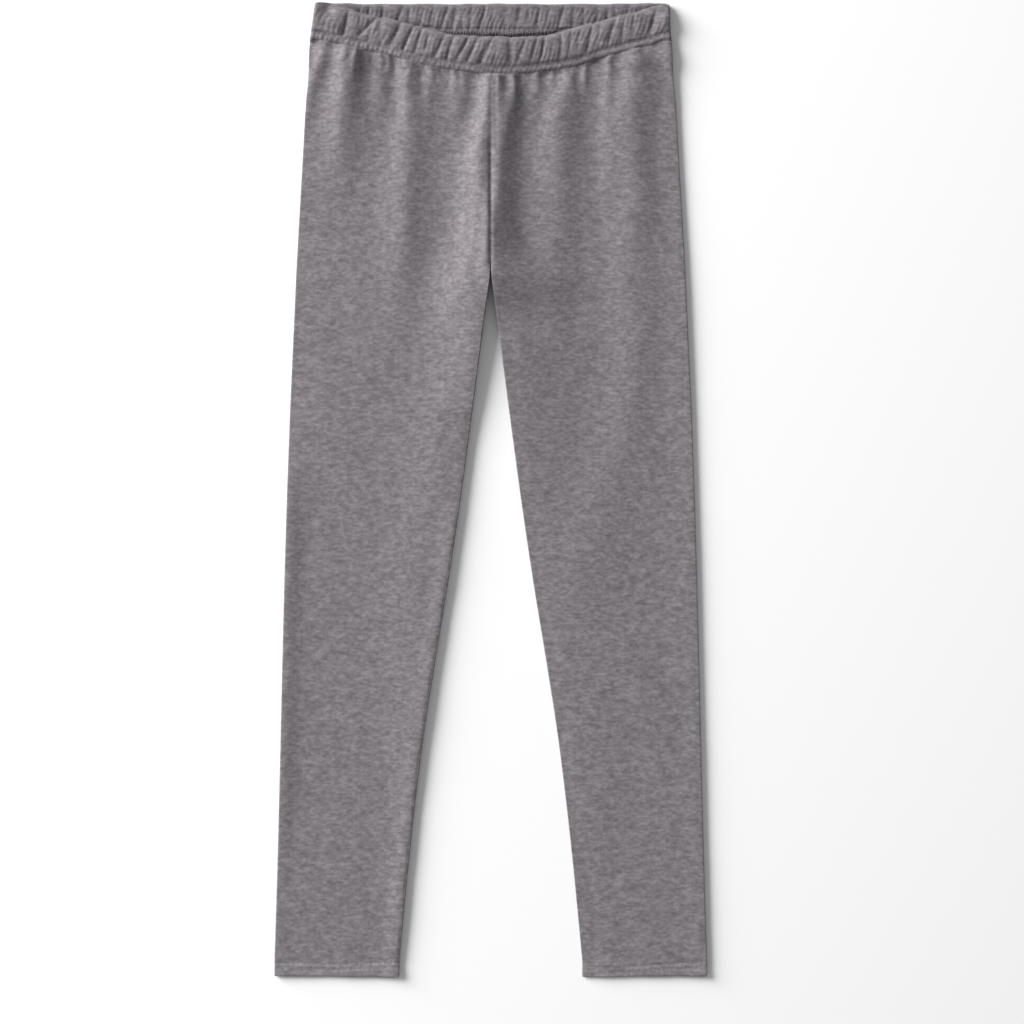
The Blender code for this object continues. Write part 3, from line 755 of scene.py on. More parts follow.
    def _seam_part(self, y: Points) -> Points:
        """The share of the centre seams at a height: 1 above the crotch and 0 below it."""
        return ramp(y, self.outline.crotch - 4.0, self.outline.crotch + 10.0)

    def _centre_seam(self, x: Points, y: Points) -> Points:
        """How the front sinks into the centre seam, more so towards the crotch.

        Args:
            x: place across.
            y: place along.

        Returns:
            The change of height, below 0 at the seam.
        """
        deep = 0.3 + 1.6 * bell(y - 264.0, 36.0) + 1.3 * bell(y - self.outline.crotch - 10.0, 30.0)
        deep = deep * (1.0 + 0.12 * np.sin(y / 5.3) * np.sin(y / 17.0))
        return -self._seam_part(y) * deep * (0.75 * bell(x, 1.7) + 0.4 * bell(x, 4.0))

    def _front_layers(self, x: Points, y: Points, above: Points, row: Points) -> Points:
        """Height of the front before gathers and folds: the panel, the step at the row, and the casing.

        Args:
            x: place across.
            y: place along.
            above: height above the lower needle row.
            row: height of the middle of the step, counted the same way.

        Returns:
            The height.
        """
        climb = mix(4.2, 3.6, self._soft_side(x))
        panel = self.cloth + self.slack + 0.2 * ramp(above, -34.0, -6.0)
        band = self.casing - self.ridge_drop * (1.0 - self._in_elastic(above - self.outline.stitch_gauge))
        return self.rest(x, y) + mix(panel, band, ease((above - row) / climb + 0.5))

    def _in_elastic(self, over_row: Points) -> Points:
        """The share of the elastic at a height above the front's or the back's upper needle row."""
        return ramp(over_row, -0.6, 2.6)

    def _front_band(self, x: Points, y: Points, over_row: Points) -> Points:
        """What the elastic adds to the front: a swell over it, a roll at the edge, and the gathers.

        Args:
            x: place across.
            y: place along.
            over_row: height above the upper needle row.

        Returns:
            The change of height.
        """
        top = self.outline.top(x)
        tall = top - self.outline.stitch(x) - self.outline.stitch_gauge
        share = np.clip(over_row / tall, 0.0, 1.0)
        swell = mix(0.15, 0.9, ramp(x, -40.0, 70.0)) * ramp(x, 138.0, 118.0)
        roll = mix(2.0, 3.0, bell(x - 6.0, 62.0))
        total = 4.0 * swell * share * (1.0 - share)
        total -= roll * np.clip((y - top) / self.roll_reach + 1.0, 0.0, 1.0) ** 2
        return total - self._in_elastic(over_row) * self._gathered(x, over_row, tall, FRONT_GATHERS)

    def _front_rows(self, x: Points, above: Points, row: Points) -> Points:
        """How the casing's two needle rows sink, and how the ridge between them is puckered.

        Args:
            x: place across.
            above: height above the lower needle row's stitches.
            row: height of the middle of its groove, counted the same way.

        Returns:
            The change of height.
        """
        soft = self._soft_side(x)
        over_row = above - self.outline.stitch_gauge
        # the lower row's groove is long on the legs' side, so that they rise to it slowly
        total = -mix(1.95, 2.0, soft) * self.row_depth * groove(above - row, 9.0, 1.5)
        total -= 0.26 * self._pucker(x, 0.0) * bell(above - row - 0.6, 1.4)
        upper = self.upper_row_depth * mix(1.0, 0.8, soft) * (1.0 + 0.22 * self._pucker(x, 1.0))
        total -= upper * groove(over_row, mix(2.8, 3.6, soft), self.row_width)
        ridge = bell(above - self.outline.stitch_gauge / 2, 2.5)
        ridge = ridge * (0.85 + 0.25 * np.sin(x / 8.7 + 1.2 * np.sin(x / 23.0)))
        ridge = ridge * mix(mix(0.62, 0.42, ramp(x, -100.0, -50.0)), 0.15, soft)
        return total + ridge * self._pucker(x, 0.5)

    def _pleats(self, x: Points, above: Points) -> Points:
        """The small pleats that hang from the lower needle row and fade out below it.

        Args:
            x: place across.
            above: height above the lower needle row.

        Returns:
            The change of height.
        """
        soft = self._soft_side(x)
        fade = np.exp(np.minimum(above, 0.0) / 5.0) * ramp(above, 1.4, -1.0)
        total = mix(0.28, 0.06, soft) * self._pucker(x, 1.6) * bell(above + 2.7, 1.5)
        return total + fade * mix(0.34, 0.14, soft) * self._pucker(0.62 * x + 0.25 * above, 2.2)

    def front(self, x: Points, y: Points) -> Points:
        """Height of the front's upper face.

        Args:
            x: place across.
            y: place along.

        Returns:
            The height.
        """
        above = y - self.outline.stitch(x)
        row = mix(-0.7, -0.4, ramp(x, -10.0, 80.0))  # the groove lies a little under the stitches
        loose = ramp(above, 1.0, -1.6)  # 1 on the legs, where the cloth is free to fold
        total = self._front_layers(x, y, above, row)
        total += self._front_band(x, y, above - self.outline.stitch_gauge)
        total += self._front_rows(x, above, row) + self._pleats(x, above) + self._creased(x, y)
        total += loose * (self._folded(x, y, FRONT_FOLDS) + self._centre_seam(x, y))
        total += loose * (self._edges(x, y) + self._uneven(x, y)) + self._hemmed(x, y)
        return np.maximum(total, 2 * self.cloth + 0.25)

    def _back_rows(self, y: Points) -> tuple[Points, Points, float]:
        """Where places stand on the back casing.

        Args:
            y: place along.

        Returns:
            The heights above its lower and its upper needle row, and the height of its elastic.
        """
        above = y - self.outline.back_stitch()
        tall = self.outline.back_top - self.outline.back_stitch() - self.outline.stitch_gauge
        return above, above - self.outline.stitch_gauge, tall

    def back(self, x: Points, y: Points) -> Points:
        """Height of the back's under face, 0 where it lies on the table.

        Args:
            x: place across.
            y: place along.

        Returns:
            The height.
        """
        above, over_row, tall = self._back_rows(y)
        total = self._in_elastic(over_row) * self._gathered(x, over_row, tall, BACK_GATHERS)
        # the two needle rows draw the under face up
        total += 0.85 * bell(above, self.row_width) * (1.0 + 0.15 * self._pucker(x, 0.7))
        total += 0.9 * bell(over_row, self.row_width) * (1.0 + 0.15 * self._pucker(x, 1.9))
        loose = ramp(above, 0.5, -4.5)
        total += loose * (self._folded(x, y, BACK_FOLDS) + 0.7 * self._seam_part(y) * bell(x, 2.2))
        for row in self.hem_rows(x):
            total += 0.5 * bell(y - self.outline.foot - row, 1.0)
        return np.clip(total, 0.0, self.back_limit)

    def back_thread(self, x: Points, y: Points) -> Points:
        """Height at which thread lies on the back's under face."""
        return self.back(x, y) + 0.25

    def inside_back(self, x: Points, y: Points) -> Points:
        """Height of the back casing's inner face, which shows above the front's dip.

        Args:
            x: place across.
            y: place along.

        Returns:
            The height, always a little under the front layer.
        """
        above, over_row, tall = self._back_rows(y)
        top = self.outline.top(x)
        total = self.casing + mix(-0.1, 0.3, ramp(above, -2.0, 7.0)) + 0.55 * self.gape(x, y)
        # it sinks behind the front layer, first slowly and then sharply, down into the crevice
        total -= 0.03 * np.clip(top + 15.0 - y, 0.0, 13.0)
        sink = mix(0.3, 1.7, bell(x + 25.0, 55.0))
        total -= sink * np.clip((top + 12.0 - y) / 10.0, 0.0, 1.0) ** 2
        opening = bell(np.maximum(np.abs(x - self.opening_middle) - 48.0, 0.0), 15.0)
        mouth = top + 2.6 + 0.5 * np.sin(x / 4.3 + 1.4 * np.sin(x / 11.0))
        total -= mix(0.4, self.crevice, opening) * ease((mouth - y) / 1.8)
        total -= ramp(over_row, -1.2, 1.8) * self._gathered(x, over_row, tall, INNER_GATHERS)
        total -= 0.7 * bell(above, 1.0)
        total -= groove(over_row - 1.4, 3.4, 0.9) * (1.0 + 0.2 * self._pucker(x, 0.0))
        return np.clip(total, self.thinnest, self.rest(x, y) - 0.15)


# ---------------------------------------------------------------------------------------------
# Meshes
# ---------------------------------------------------------------------------------------------


def add_object(name: str, data: bpy.types.ID) -> bpy.types.Object:
    """Makes an object and puts it in the scene.

    Args:
        name: its name.
        data: its mesh, light or camera.

    Returns:
        The object.
    """
    thing = bpy.data.objects.new(name, data)
    bpy.context.scene.collection.objects.link(thing)
    return thing


@dataclass
class Shell:
    """Points and faces of one mesh while it is put together."""

    points: list = field(default_factory=list)
    faces: list = field(default_factory=list)
    count: int = 0

    def add(self, points: Points, faces: Points) -> None:
        """Adds a patch.

        Args:
            points: its points in millimetres, one row each.
            faces: its faces as rows of point numbers, counted from the patch's first point.
        """
        self.points.append(points)
        self.faces.append(faces + self.count)
        self.count += len(points)

    def build(self, name: str, weld: float = 0.0, wall: float = 0.0) -> bpy.types.Object:
        """Makes the object, smooth shaded but for its cut edges, and with its faces turned outwards.

        Args:
            name: the object's name.
            weld: distance in millimetres within which points become one, 0 for none.
            wall: thickness of the cloth to add on the inside, 0 for none; its faces take material 1.

        Returns:
            The object, in the scene's collection.
        """
        mesh = bpy.data.meshes.new(name)
        points = np.concatenate(self.points) * MM
        faces = [face for patch in self.faces for face in patch.tolist()]
        mesh.from_pydata(points.tolist(), [], faces)
        shape = bmesh.new()
        shape.from_mesh(mesh)
        if weld:
            bmesh.ops.remove_doubles(shape, verts=shape.verts, dist=weld * MM)
        bmesh.ops.recalc_face_normals(shape, faces=shape.faces)
        if wall:
            outside = len(shape.faces)
            bmesh.ops.solidify(shape, geom=shape.faces[:], thickness=wall * MM)
            shape.faces.index_update()
            for face in shape.faces:
                face.material_index = 0 if face.index < outside else 1
        shape.to_mesh(mesh)
        shape.free()
        mesh.shade_smooth()
        mesh.set_sharp_from_angle(angle=SHARP_ANGLE)
        return add_object(name, mesh)


def grid_faces(rows: int, columns: int, round_rows: bool = False, round_columns: bool = False) -> Points:
    """Quads of a grid of points, joined round where asked.

    Args:
        rows: points along the first way.
        columns: points along the second way.
        round_rows: True where the last row joins the first.
        round_columns: True where the last column joins the first.

    Returns:
        One row of four point numbers for each quad.
    """
    row = np.arange(rows if round_rows else rows - 1)
    column = np.arange(columns if round_columns else columns - 1)
    row, column = np.meshgrid(row, column, indexing="ij")
    row, column = row.ravel(), column.ravel()
    next_row, next_column = (row + 1) % rows, (column + 1) % columns
    corners = (row * columns + column, row * columns + next_column,
               next_row * columns + next_column, next_row * columns + column)
    return np.stack(corners, axis=1)


def dress(piece: bpy.types.Object, *finishes: "Finish") -> None:
    """Gives a piece its finishes, in the order of its faces' material numbers."""
    for finish in finishes:
        piece.data.materials.append(finish.material())


class Side(Enum):
    """The wearer's side that a leg is on; its value is the sign of X there."""

    RIGHT = -1
    LEFT = 1


@dataclass
class Leg:
    """One leg: a flat tube of cloth, open at the waist and hem, slit above the crotch."""

    side: Side
    outline: Outline
    relief: Relief
    side_round: float = 0.6
    inseam_round: float = 0.6
    edge_zone: float = 7.0
    edge_columns: int = 13
    side_columns: int = 6
    front_columns: int = 98
    back_columns: int = 30
    fold_sides: int = 12
    end_sides: int = 5
    top_rows: int = 34
    top_zone: float = 44.0
    yoke_step: float = 2.6
    leg_step: float = 3.7
    yoke_reach: float = 100.0  # the rows bend with the casing's edge down to this far above the crotch
    closing: float = 9.0  # the length over which the two layers close above the crotch
    seam_air: float = 0.02
    first_guess: float = 80.0  # where across the leg its rows are first laid, before they settle
    name: str = field(init=False)

    def __post_init__(self) -> None:
        """Names the leg."""
        self.name = f"{self.side.name.lower()}_leg"

    def _columns(self) -> tuple[Points, Points, Points, Points]:
        """Every place round the leg, from the back's inner end to the front's.

        Returns:
            For each column its share of the way across, its shift in millimetres, its turn round the
            folded side, and its turn round the inner end.
        """
        ends = np.linspace(HALF_TURN / 2, 0.0, self.end_sides, endpoint=False)
        near = np.linspace(0.0, self.edge_zone, self.edge_columns, endpoint=False)
        far = np.linspace(self.edge_zone, 0.0, self.side_columns + 1)[:-1]
        share: list = []
        shift: list = []
        turn: list = []
        end_turn: list = []

        def put(*runs: Points) -> None:
            """Adds one run of columns: their shares, shifts, turns and end turns, each one or many."""
            size = max(np.size(run) for run in runs)
            for store, run in zip((share, shift, turn, end_turn), runs):
                store.append(np.broadcast_to(np.asarray(run, dtype=float), (size,)))

        zone = self.edge_zone
        back = np.linspace(0.0, 1.0, self.back_columns)
        front = np.linspace(1.0, 0.0, self.front_columns)
        put(0.0, 0.0, 0.0, ends)  # round the inner end, from its middle to the back
        put(0.0, near[::3], 0.0, 0.0)  # the back near the inseam
        put(back, zone * (1 - 2 * back), 0.0, 0.0)  # across the back
        put(1.0, -far[1::2], 0.0, 0.0)  # the back near the folded side
        put(1.0, 0.0, np.linspace(0.0, HALF_TURN, self.fold_sides + 1), 0.0)  # round the folded side
        put(1.0, -far[:0:-1], HALF_TURN, 0.0)  # the front near the folded side
        put(front, zone * (1 - 2 * front), HALF_TURN, 0.0)  # across the front
        put(0.0, near[::-1], HALF_TURN, 0.0)  # the front near the inseam
        put(0.0, 0.0, HALF_TURN, ends[::-1])  # round the inner end, from the front to its middle
        return tuple(np.concatenate(part) for part in (share, shift, turn, end_turn))

    def _heights(self, x: Points, turn: Points) -> Points:
        """Places along the length of every row, which bend to the casing's edge near the waist.

        Args:
            x: place across of every point, one row of the loft in each row.
            turn: turn round the folded side of every column.

        Returns:
            The points' places along the length.
        """
        sewn_back = self.outline.back_stitch() - self.outline.joint_past_stitch
        sewn_front = self.outline.stitch(x) - self.outline.joint_past_stitch
        head = mix(sewn_back, sewn_front, turn[None, :] / HALF_TURN)
        yoke_foot = self.outline.crotch + self.yoke_reach
        top = np.linspace(0.0, self.top_zone, self.top_rows, endpoint=False)
        lowest_head = float(self.outline.stitch(np.zeros(1))[0]) - self.top_zone
        yoke_count = int((lowest_head - yoke_foot) / self.yoke_step)
        yoke = np.linspace(0.0, 1.0, yoke_count, endpoint=False)
        upper = head[:1] - top[:, None]
        middle = mix(head[:1] - self.top_zone, yoke_foot, yoke[:, None])
        lower_count = int((yoke_foot - self.outline.crotch) / self.yoke_step)
        lower = np.linspace(yoke_foot, self.outline.crotch, lower_count, endpoint=False)
        leg_count = int((self.outline.crotch - self.outline.hem_top) / self.leg_step)
        leg = np.linspace(self.outline.crotch, self.outline.hem_top, leg_count)
        level = np.concatenate([lower, leg])[:, None] + np.zeros_like(head[:1])
        return np.concatenate([upper, middle, level])

    def _place(self) -> Points:
        """Lays all points of the leg's outer face.

        Returns:
            Rows by columns by three.
        """
        share, shift, turn, end_turn = self._columns()
        sign = self.side.value
        x = np.full((1, len(share)), self.first_guess) * sign
        y = self._heights(x, turn)
        for _ in range(SETTLING_ROUNDS):
            start = self.outline.inner(y) + self.inseam_round
            end = self.outline.outer(y) - self.side_round
            flat_x = mix(start, end, share) + shift
            x = sign * (flat_x + self.side_round * np.sin(turn))
            y = self._heights(x[:1], turn)
        flat = sign * np.minimum(flat_x, end)
        level = self.relief.front(flat, y)
        room = np.maximum(level - 2 * self.relief.cloth - 0.1, 0.0)
        ground = np.minimum(self.relief.back(flat, y), room)
        z = mix(ground, level, (1.0 - np.cos(turn)) / 2)
        at_end = end_turn > 0
        inner = self.outline.inner(y)
        bend = 1.0 - np.cos(end_turn)
        crotch = self.outline.crotch
        closed = ramp(y, crotch + self.closing, crotch)
        middle = (level + ground) / 2
        seam_fold = 0.5 * ramp(end_turn, 1.1, 1.55) * ramp(y, crotch, crotch - 40.0)
        x_end = sign * (inner + self.inseam_round * (1.0 - np.sin(end_turn)) + seam_fold)
        open_front, open_back = self.relief.front(x_end, y), self.relief.back(x_end, y)
        front_end = mix(open_front, level - bend * (level - middle - self.seam_air), closed)
        back_end = mix(open_back, ground + bend * (middle - ground - self.seam_air), closed)
        z = np.where(at_end, np.where(turn > 0, front_end, back_end), z)
        x = np.where(at_end, x_end, x)
        sewn = at_end & (end_turn >= HALF_TURN / 2 - 1e-6) & (y < crotch - 0.5)
        z = np.where(sewn, middle, z)
        return np.stack([x, y, z], axis=-1)

    def build(self, finish: "JerseyFinish", reverse: "JerseyFinish") -> bpy.types.Object:
        """Makes the leg's shell.

        Args:
            finish: the face of the cloth.
            reverse: the inside of the cloth.

        Returns:
            The leg.
        """
        points = self._place()
        rows, columns = points.shape[:2]
        shell = Shell()
        shell.add(points.reshape(-1, 3), grid_faces(rows, columns))
        leg = shell.build(f"{self.name}_cloth", weld=0.01, wall=self.relief.cloth)
        dress(leg, finish, reverse)
        return leg


@dataclass
class Ring:
    """A flattened ring of doubled cloth: the waist casing or a hem."""

    outline: Outline
    relief: Relief
    name: str
    round_low: float
    round_high: float
    step: float
    edge_round: float
    edge_steps: int = 6
    side_steps: int = 14

    def low(self, y: Points) -> Points:
        """Where the ring's left fold lies."""
        raise NotImplementedError

    def high(self, y: Points) -> Points:
        """Where the ring's right fold lies."""
        raise NotImplementedError

    def folded(self, x: Points, turn: Points) -> Points:
        """Height along the length of the ring's folded edge."""
        raise NotImplementedError

    def sewn(self, x: Points, turn: Points) -> Points:
        """Height along the length of the ring's other edge."""
        raise NotImplementedError

    def thick(self, x: Points, y: Points, front: bool) -> Points:
        """Thickness of the wall at a place on the front or the back."""
        raise NotImplementedError

    def _middle_edges(self) -> tuple[float, float]:
        """Heights of the folded edge and of the sewn one at the middle of the back."""
        middle = np.zeros(1)
        return float(self.folded(middle, middle)[0]), float(self.sewn(middle, middle)[0])

    def _depths(self) -> tuple[Points, Points]:
        """Shares of the ring's depth, from the folded edge, at which its sections have points.

        Returns:
            The distance from the folded edge in millimetres within the rounded edge, and the shares of
            what is left, beyond it.
        """
        bend = np.linspace(0.0, HALF_TURN / 2, self.edge_steps, endpoint=False)
        rounded = self.edge_round * (1.0 - np.cos(bend))
        edge, foot = self._middle_edges()
        deep = abs(edge - foot)
        count = max(int((deep - self.edge_round) / self.step), 4)
        return rounded, np.linspace(0.0, 1.0, count)

    def _sections(self, x_share: Points, turn: Points, side: Points) -> Points:
        """Points of every section.

        Args:
            x_share: share of the way from the left fold to the right one, for each station.
            turn: 0 on the back, half a turn on the front, for each station.
            side: -1 or 1 on a fold, 0 on a run, for each station.

        Returns:
            Stations by section points by three.
        """
        rounded, rest = self._depths()
        stations, count = len(x_share), len(rounded) + len(rest)
        share, turn = x_share[:, None], turn[:, None]
        side = side[:, None]
        y = np.full((stations, count), self._middle_edges()[0])
        for _ in range(SETTLING_ROUNDS):
            left, right = self.low(y) + self.round_low, self.high(y) - self.round_high
            flat = mix(left, right, share)
            head, foot = self.folded(flat, turn), self.sewn(flat, turn)
            way = np.sign(foot - head)
            turned = head[:, : len(rounded)] + way[:, : len(rounded)] * rounded
            start = head[:, len(rounded):] + way[:, len(rounded):] * self.edge_round
            y = np.concatenate([turned, mix(start, foot[:, len(rounded):], rest)], axis=1)
        top, ground = self.relief.front(flat, y), self.relief.back(flat, y)
        wall = mix(self.thick(flat, y, False), self.thick(flat, y, True), (1.0 - np.cos(turn)) / 2)
        tuck = np.zeros((stations, count))
        bend = np.arccos(1.0 - np.clip(rounded / self.edge_round, 0.0, 1.0))
        tuck[:, : len(rounded)] = 1.0 - np.sin(bend)
        radius = np.where(side < 0, self.round_low, self.round_high)
        faces = []
        for inward in (wall / 2 * tuck, wall * (1.0 - tuck / 2)):
            z = mix(ground, top, (1.0 - np.cos(turn)) / 2) + inward * np.cos(turn)
            out = radius * (np.sin(turn) - 1.0) - inward * np.sin(turn)
            edge = np.where(side < 0, self.low(y), self.high(y))
            x = np.where(side == 0, flat, edge + side * out)
            faces.append(np.stack([x, y, z], axis=-1))
        return np.concatenate([faces[0], faces[1][:, ::-1]], axis=1)

    def build(self, finish: "JerseyFinish") -> bpy.types.Object:
        """Makes the ring and dresses it.

        Args:
            finish: the face of the cloth.

        Returns:
            The ring.
        """
        edge = np.full(1, self._middle_edges()[0])
        count = int(float((self.high(edge) - self.low(edge))[0]) / self.step)
        run = np.linspace(0.0, 1.0, count)[1:-1]
        turns = np.linspace(0.0, HALF_TURN, self.side_steps)
        level, ones = np.zeros_like(run), np.ones_like(turns)
        share = np.concatenate([run, ones, run[::-1], 0 * ones])
        turn = np.concatenate([level, turns, level + HALF_TURN, turns[::-1]])
        side = np.concatenate([level, ones, level, -ones])
        points = self._sections(share, turn, side)
        shell = Shell()
        shell.add(points.reshape(-1, 3), grid_faces(*points.shape[:2], round_rows=True, round_columns=True))
        ring = shell.build(f"{self.name}_cloth")
        dress(ring, finish)
        return ring


@dataclass
class Casing(Ring):
    """The waist casing: cloth turned over elastic and gathered by it, its front dipping."""

    name: str = "waist_casing"
    round_low: float = 2.2
    round_high: float = 2.2
    step: float = 0.9
    edge_round: float = 3.3
    corner_drop: float = 1.5
    corner_wide: float = 3.2
    right_reach: float = 2.4
    front_below: float = 0.3  # how far under the back's folded edge the front's stays at least

    def low(self, y: Points) -> Points:
        """Where the left fold lies."""
        return -self.outline.outer(y)

    def high(self, y: Points) -> Points:
        """Where the right fold lies, which leans out a little at the top."""
        return self.outline.outer(y) + self.right_reach * ramp(y, 394.0, 418.0)

    def folded(self, x: Points, turn: Points) -> Points:
        """The waist's top edge, slightly wavy over the gathers.

        Args:
            x: place across.
            turn: 0 on the back, half a turn on the front.

        Returns:
            The edge's height along the length.
        """
        share = turn / HALF_TURN
        wave = 0.35 * np.sin(x / 5.1 + 1.4 * np.sin(x / 21.0)) + 0.25 * np.sin(x / 12.7 + 1.0)
        for gather in FRONT_GATHERS:
            if gather.high >= 1.0:
                wave = wave - 0.3 * share * gather.deep * bell(x - gather.x - gather.lean / 2, 1.5)
        side = self.high(np.full_like(x, 415.0)) - np.abs(x)
        corner = self.corner_drop * bell(np.maximum(side, 0.0), self.corner_wide)
        lifted = self.outline.back_top + 0.9 + 0.8 * ramp(np.abs(x), 96.0, 130.0)
        rise = 3.4 * ramp(x, -108.0, -134.0) + 1.6 * ramp(x, 118.0, 144.0)
        dip = np.minimum(self.outline.top(x) - 0.7 + rise, lifted - self.front_below)
        straight = mix(lifted, dip, share)
        return straight - corner + mix(0.55, 1.0, share) * wave

    def sewn(self, x: Points, turn: Points) -> Points:
        """The edge below the lower needle row, where the legs go on.

        Args:
            x: place across.
            turn: 0 on the back, half a turn on the front.

        Returns:
            The edge's height along the length.
        """
        front = self.outline.stitch(x) - self.outline.joint_past_stitch
        back = self.outline.back_stitch() - self.outline.joint_past_stitch
        return mix(back, front, turn / HALF_TURN)

    def thick(self, x: Points, y: Points, front: bool) -> Points:
        """Thickness of the wall, which the gathers and the needle rows thin.

        Args:
            x: place across.
            y: place along.
            front: True on the front layer.

        Returns:
            The thickness.
        """
        upper, lower = self.relief.inside_back, self.relief.back
        if front:
            upper, lower = self.relief.front, self.relief.rest
        return np.maximum(upper(x, y) - lower(x, y), self.relief.thinnest)


@dataclass
class Hem(Ring):
    """A leg's end turned up on itself."""

    side: Side = Side.LEFT
    name: str = ""
    round_low: float = 0.0
    round_high: float = 0.0
    step: float = 1.1
    edge_round: float = 1.3

    def __post_init__(self) -> None:
        """Names the hem and sets which of its folds is the leg's side."""
        self.name = f"{self.side.name.lower()}_hem"
        folds = (0.6, 0.7) if self.side is Side.LEFT else (0.7, 0.6)
        self.round_low, self.round_high = folds

    def low(self, y: Points) -> Points:
        """Where the left fold lies."""
        return self.outline.inner(y) if self.side is Side.LEFT else -self.outline.outer(y)

    def high(self, y: Points) -> Points:
        """Where the right fold lies."""
        return self.outline.outer(y) if self.side is Side.LEFT else -self.outline.inner(y)

    def folded(self, x: Points, turn: Points) -> Points:
        """The leg's end, a little lower towards the inseam."""
        return self.outline.foot + 0.7 * ramp(np.abs(x), 90.0, 150.0) + 0.12 * np.sin(x / 6.0) + 0.0 * turn

    def sewn(self, x: Points, turn: Points) -> Points:
        """Where the hem meets the leg."""
        return self.outline.hem_top + 0.0 * (x + turn)

    def thick(self, x: Points, y: Points, front: bool) -> Points:
        """Thickness of the doubled cloth."""
        whole = self.relief.front(x, y) - self.relief.back(x, y)
        return np.minimum(self.relief.hem, whole / 2 - 0.1)


# ---------------------------------------------------------------------------------------------
# Threads
# ---------------------------------------------------------------------------------------------


@dataclass
class Thread:
    """Sewing thread as tubes that follow the cloth."""

    radius: float = 0.2
    sides: int = 6
    sunk: float = 0.42  # how deep in the cloth a stitch's ends lie
    rise: float = 0.5  # how far its middle stands above its ends

    def tube(self, shell: Shell, path: Points, radii: Points) -> None:
        """Adds a tube with closed ends to a mesh.

        Args:
            shell: the mesh.
            path: the tube's middle line, one point a row.
            radii: the tube's radius at each point.
        """
        ahead = np.gradient(path, axis=0)
        ahead /= np.linalg.norm(ahead, axis=1, keepdims=True) + 1e-9
        up = np.array([0.0, 0.0, 1.0])
        across = np.cross(ahead, up)
        across /= np.linalg.norm(across, axis=1, keepdims=True) + 1e-9
        above = np.cross(across, ahead)
        angles = np.linspace(0.0, 2 * HALF_TURN, self.sides, endpoint=False)
        ring = np.cos(angles)[None, :, None] * across[:, None]
        ring = ring + np.sin(angles)[None, :, None] * above[:, None]
        points = (path[:, None] + ring * radii[:, None, None]).reshape(-1, 3)
        shell.add(points, grid_faces(len(path), self.sides, round_columns=True))

    def stitch(self, shell: Shell, start: Points, end: Points) -> None:
        """Adds one stitch that rises out of the cloth and dips back into it.

        Args:
            shell: the mesh it joins.
            start: where it leaves the cloth.
            end: where it goes back in.
        """
        share = np.linspace(0.0, 1.0, 7)
        hump = np.sin(HALF_TURN * share)
        path = mix(start[None, :], end[None, :], share[:, None])
        path[:, 2] += self.rise * hump - self.sunk
        self.tube(shell, path, self.radius * mix(0.45, 1.0, hump))


@dataclass
class NeedleRows:
    """The two parallel rows of stitches that a coverstitch machine leaves on the face."""

    thread: Thread
    length: float = 2.9
    gap: float = 0.35

    def run(self, shell: Shell, start: float, end: float, row: Callable, height: Callable) -> None:
        """Adds one row of stitches.

        Args:
            shell: the mesh they join.
            start: place across of the row's start.
            end: place across of the row's end.
            row: gives the row's height along the length at places across.
            height: gives the cloth's height at places across and along.
        """
        count = int((end - start) / self.length)
        for index in range(count):
            left = start + (end - start) * index / count
            right = left + self.length - self.gap
            x = np.array([left, right])
            y = row(x)
            self.thread.stitch(shell, *np.stack([x, y, height(x, y)], axis=1))


@dataclass
class CasingStitches:
    """All thread that shows on the casing: needle rows outside, looper thread inside."""

    outline: Outline
    relief: Relief
    thread: Thread
    looper_pitch: float = 2.9
    looper_steps: int = 8
    side_clear: float = 5.5

    def build(self, finish: "ThreadFinish") -> bpy.types.Object:
        """Makes the casing's stitches as one mesh.

        Args:
            finish: the thread's finish.

        Returns:
            The stitches.
        """
        shell = Shell()
        rows = NeedleRows(self.thread)
        reach = float(self.outline.outer(np.array([self.outline.back_stitch()]))[0]) - self.side_clear
        for lift in (0.0, self.outline.stitch_gauge):
            rows.run(shell, -reach, reach,
                     lambda x, up=lift: self.outline.stitch(x) + up, self.relief.front)
            rows.run(shell, -reach, reach,
                     lambda x, up=lift: np.full_like(x, self.outline.back_stitch() + up),
                     self.relief.back_thread)
        self._loopers(shell, reach)
        stitches = shell.build("casing_stitches")
        dress(stitches, finish)
        return stitches

    def _loopers(self, shell: Shell, reach: float) -> None:
        """Adds the looper thread, which crosses from row to row on the casing's inside.

        Args:
            shell: the mesh it joins.
            reach: how far it runs to each side.
        """
        gauge, base = self.outline.stitch_gauge, self.outline.back_stitch()
        count = int(2 * reach / self.looper_pitch)
        for strand, shift in ((0, 0.0), (1, 0.45)):
            share = np.arange(count * self.looper_steps) / self.looper_steps
            swing = 0.5 - 0.5 * np.cos(2 * HALF_TURN * (share + shift * strand))
            x = -reach + share * self.looper_pitch + 0.55 * np.sin(4 * HALF_TURN * share)
            y = base + mix(-0.5, gauge + 0.9, swing)  # it reaches a little past both rows
            z = self.relief.inside_back(x, y) + 0.12 + 0.1 * strand
            path = np.stack([x, y, z], axis=1)
            self.thread.tube(shell, path, np.full(len(path), self.thread.radius))


